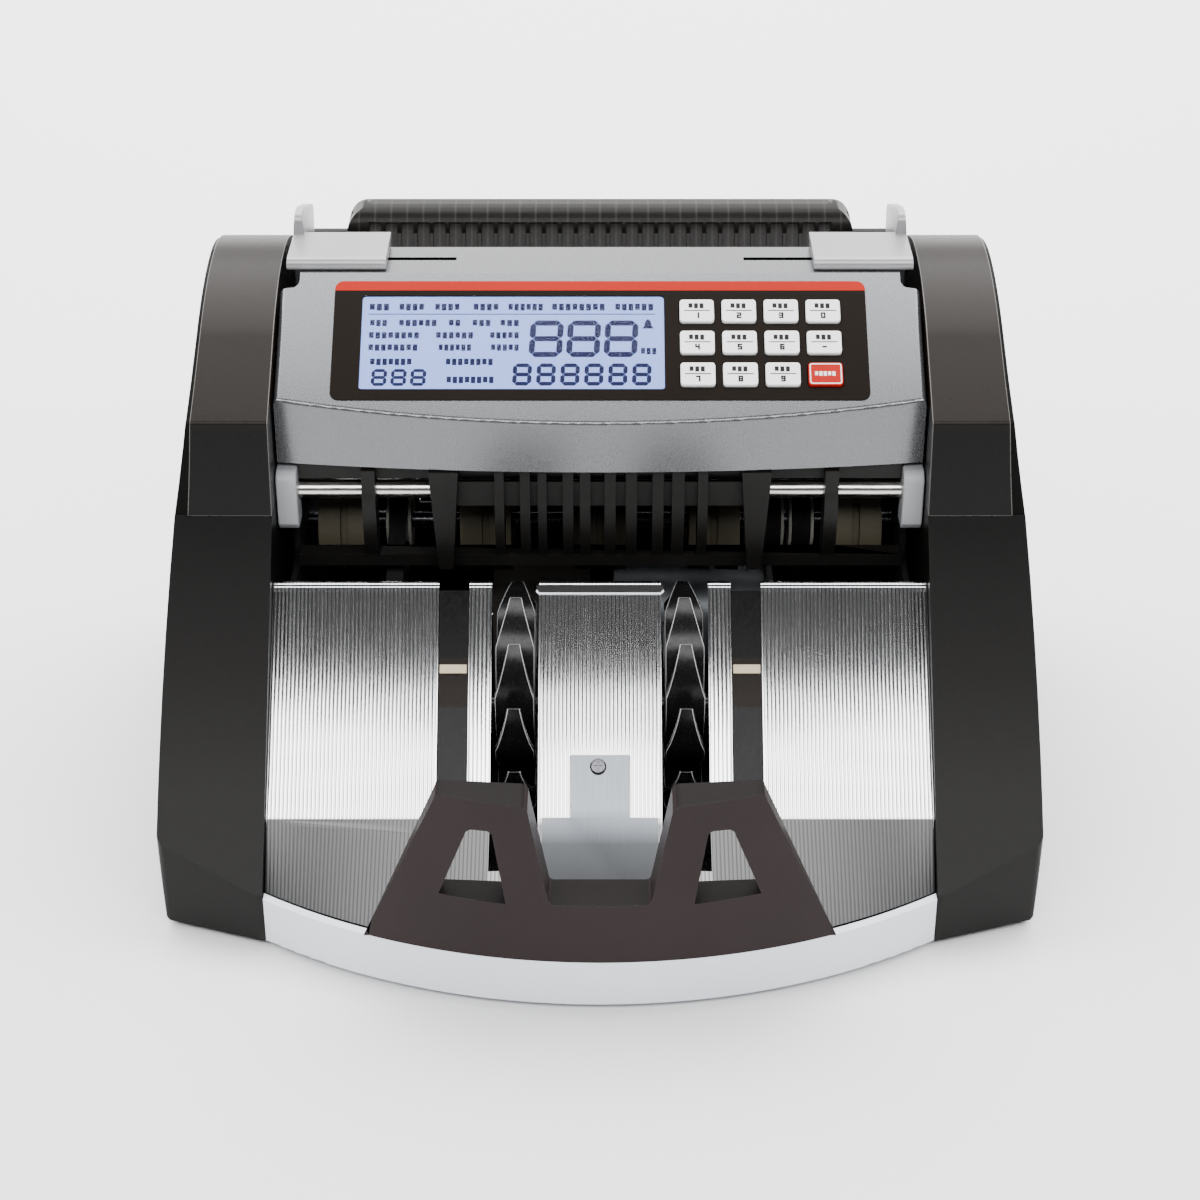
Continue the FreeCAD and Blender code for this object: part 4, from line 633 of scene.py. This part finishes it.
def ribbed_strip(bm, x0, x1, place, start, end, steps=1):
    """A closed ribbed skin on the plate between two sides. place(x, along, lift) gives its points."""
    count = max(1, round((x1 - x0) / RIB_PITCH))
    pitch = (x1 - x0) / count
    columns = [(x0 + pitch * (i + f), lift) for i in range(count) for f, lift in RIB_PROFILE]
    columns.append((x1, RIB_VALLEY))
    rows = []
    for step in range(steps + 1):
        along = start + (end - start) * step / steps
        top = [bm.verts.new(place(x, along, lift)) for x, lift in columns]
        under = [bm.verts.new(place(x, along, RIB_BASE)) for x in (x0, x1)]
        rows.append((top, under))
    for (top_a, under_a), (top_b, under_b) in zip(rows, rows[1:]):
        for i in range(len(columns) - 1):
            bm.faces.new((top_a[i], top_a[i + 1], top_b[i + 1], top_b[i]))
        bm.faces.new((under_a[0], under_b[0], under_b[1], under_a[1]))
        bm.faces.new((top_a[0], top_b[0], under_b[0], under_a[0]))
        bm.faces.new((top_a[-1], under_a[1], under_b[1], top_b[-1]))
    (top_a, under_a), (top_b, under_b) = rows[0], rows[-1]
    bm.faces.new(top_a[::-1] + [under_a[0], under_a[1]])
    bm.faces.new(top_b + [under_b[1], under_b[0]])


def build_ribs():
    steep_len = (PLATE_BEND - PLATE_TOP).length
    edge = plate_high[0] - 0.2
    steep, flat = bmesh.new(), bmesh.new()
    for side in (-1, 1):
        for x0, x1, start in ((54.1, edge, 1.6), (36.4, 43.4, 1.6), (43.6, 53.9, 68.9)):
            low, high = sorted((side * x0, side * x1))
            ribbed_strip(steep, low, high, steep_point, start, steep_len)
        low, high = sorted((side * 36.4, side * edge))
        ribbed_strip(flat, low, high, floor_point, 0.0, 0.985, 6)
    ribbed_strip(steep, -20.1, 20.1, steep_point, 1.6, steep_len)
    for name, bm, look in (("stacker_ribs", steep, "plate"), ("floor_ribs", flat, "plate_floor")):
        bm.transform(FROM_MM)
        add_piece(name, bm, look, HOUSING)


build_ribs()


def build_top_trim():
    """The dark rolled lip along the top of the centre plate, with a light strip along its lower side as a
    painted highlight.
    """
    for name, look, outline, height in (
        ("plate_lip", "comb", ((-21.4, -0.5), (21.4, -0.5), (20.6, 1.7), (-20.6, 1.7)), 0.5),
        ("plate_lip_highlight", "rim", ((-21.2, 0.9), (-20.2, 2.0), (20.2, 2.0), (21.2, 0.9), (21.4, 1.6),
                                   (20.4, 2.6), (-20.4, 2.6), (-21.4, 1.6)), 0.7),
    ):
        bm = bmesh.new()
        low = [steep_point(x, along, TRIM_BASE) for x, along in outline]
        high = [steep_point(x, along, height) for x, along in outline]
        closed_solid(bm, low, high)
        bm.transform(FROM_MM)
        add_piece(name, bm, look, HOUSING)


build_top_trim()


def build_comb_web():
    """The thin dark web between the middle teeth of the outlet comb, in front of the guide shaft."""
    bm = bmesh.new()
    prism(bm, [(-50.0, 5.9), (50.0, 5.9), (50.0, 6.5), (-50.0, 6.5)], 112.5, 121.5)
    bm.transform(FROM_MM)
    add_piece("comb_web", bm, "comb", HOUSING)


build_comb_web()


# ---------------------------------------------------------------- housing screws on the back
def screw_head(bm, radius, height):
    """A pan head with a cross recess, standing on z = 0."""
    def ring(r, a0=0.0, a1=math.tau, steps=28):
        turns = [a0 + (a1 - a0) * i / steps for i in range(steps + 1)]
        return [(r * math.cos(a), r * math.sin(a)) for a in turns]

    prism(bm, ring(radius)[:-1], 0, height * 0.45)
    outer, inner = ring(radius * 0.96), ring(radius * 0.62)
    for i in range(len(outer) - 1):
        prism(bm, [outer[i], outer[i + 1], inner[i + 1], inner[i]], height * 0.45, height * 0.85)
    g = radius * 0.12
    for quarter in range(4):
        turn = Matrix.Rotation(quarter * math.pi / 2, 2)
        lean = math.asin(g / (radius * 0.62))
        wedge = [(g, g)] + ring(radius * 0.62, lean, math.pi / 2 - lean, 8)
        prism(bm, [tuple(turn @ Vector(p)) for p in wedge], height * 0.45, height)


def build_screws():
    (x0, _, z0), (x1, y1, z1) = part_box("rear_panel")
    places = [(x, z) for x in (x0 + 0.009, x1 - 0.009) for z in (z0 + 0.009, z1 - 0.012)]
    for i, (x, z) in enumerate(places):
        bm = bmesh.new()
        screw_head(bm, 3.0, 1.6)
        stand = Matrix.Translation((x, y1, z)) @ Matrix.Rotation(-math.pi / 2, 4, "X")
        bm.transform(stand @ FROM_MM)
        add_piece(f"rear_screw_{i + 1}", bm, "steel", HOUSING)


build_screws()


# ---------------------------------------------------------------- stage, light and camera
def stage_material(name, colour, rough):
    n = Nodes(name)
    n.link(n.shade(n.noise(3.0), [c * 0.995 for c in colour], colour), n.shader.inputs["Base Color"])
    n.shader.inputs["Roughness"].default_value = rough
    n.shader.inputs["Specular IOR Level"].default_value = 0.1
    return n.material


bm = bmesh.new()
bmesh.ops.create_grid(bm, x_segments=1, y_segments=1, size=4.0)
floor_mesh = bpy.data.meshes.new("floor")
bm.to_mesh(floor_mesh)
bm.free()
floor = bpy.data.objects.new("floor", floor_mesh)
bpy.context.scene.collection.objects.link(floor)
floor_mesh.materials.append(stage_material("floor_pale", (0.97, 0.97, 0.97), 0.9))

world = bpy.data.worlds.new("studio")
world.use_nodes = True
world.node_tree.nodes["Background"].inputs["Color"].default_value = (1.0, 1.0, 1.0, 1)
world.node_tree.nodes["Background"].inputs["Strength"].default_value = 0.10
bpy.context.scene.world = world


def softbox(name, place, target, size, power):
    """A rectangular area light. A target of None leaves it facing straight down."""
    light = bpy.data.lights.new(name, "AREA")
    light.shape = "RECTANGLE"
    light.size, light.size_y = size
    light.energy = power
    lamp = bpy.data.objects.new(name, light)
    lamp.location = place
    if target:
        lamp.rotation_euler = (Vector(target) - Vector(place)).to_track_quat("-Z", "Y").to_euler()
    bpy.context.scene.collection.objects.link(lamp)


softbox("front_light", (0.0, -0.922, 1.006), (0, -0.037, 0.074), (2.1, 0.42), 25)
softbox("top_light", (0.0, 0.75, 1.25), None, (2.8, 1.56), 104)
softbox("back_light", (0.0, 1.5, 0.5), (0, 0.0, 0.45), (2.6, 0.8), 26)

camera_data = bpy.data.cameras.new("camera")
camera_data.lens = 75.0
camera_data.sensor_width = 36.0
camera_data.clip_start = 0.01
camera = bpy.data.objects.new("camera", camera_data)
camera.location = (0.0, -0.744, 0.5085)
camera.rotation_euler = (math.radians(60.0), 0.0, 0.0)
bpy.context.scene.collection.objects.link(camera)
bpy.context.scene.camera = camera
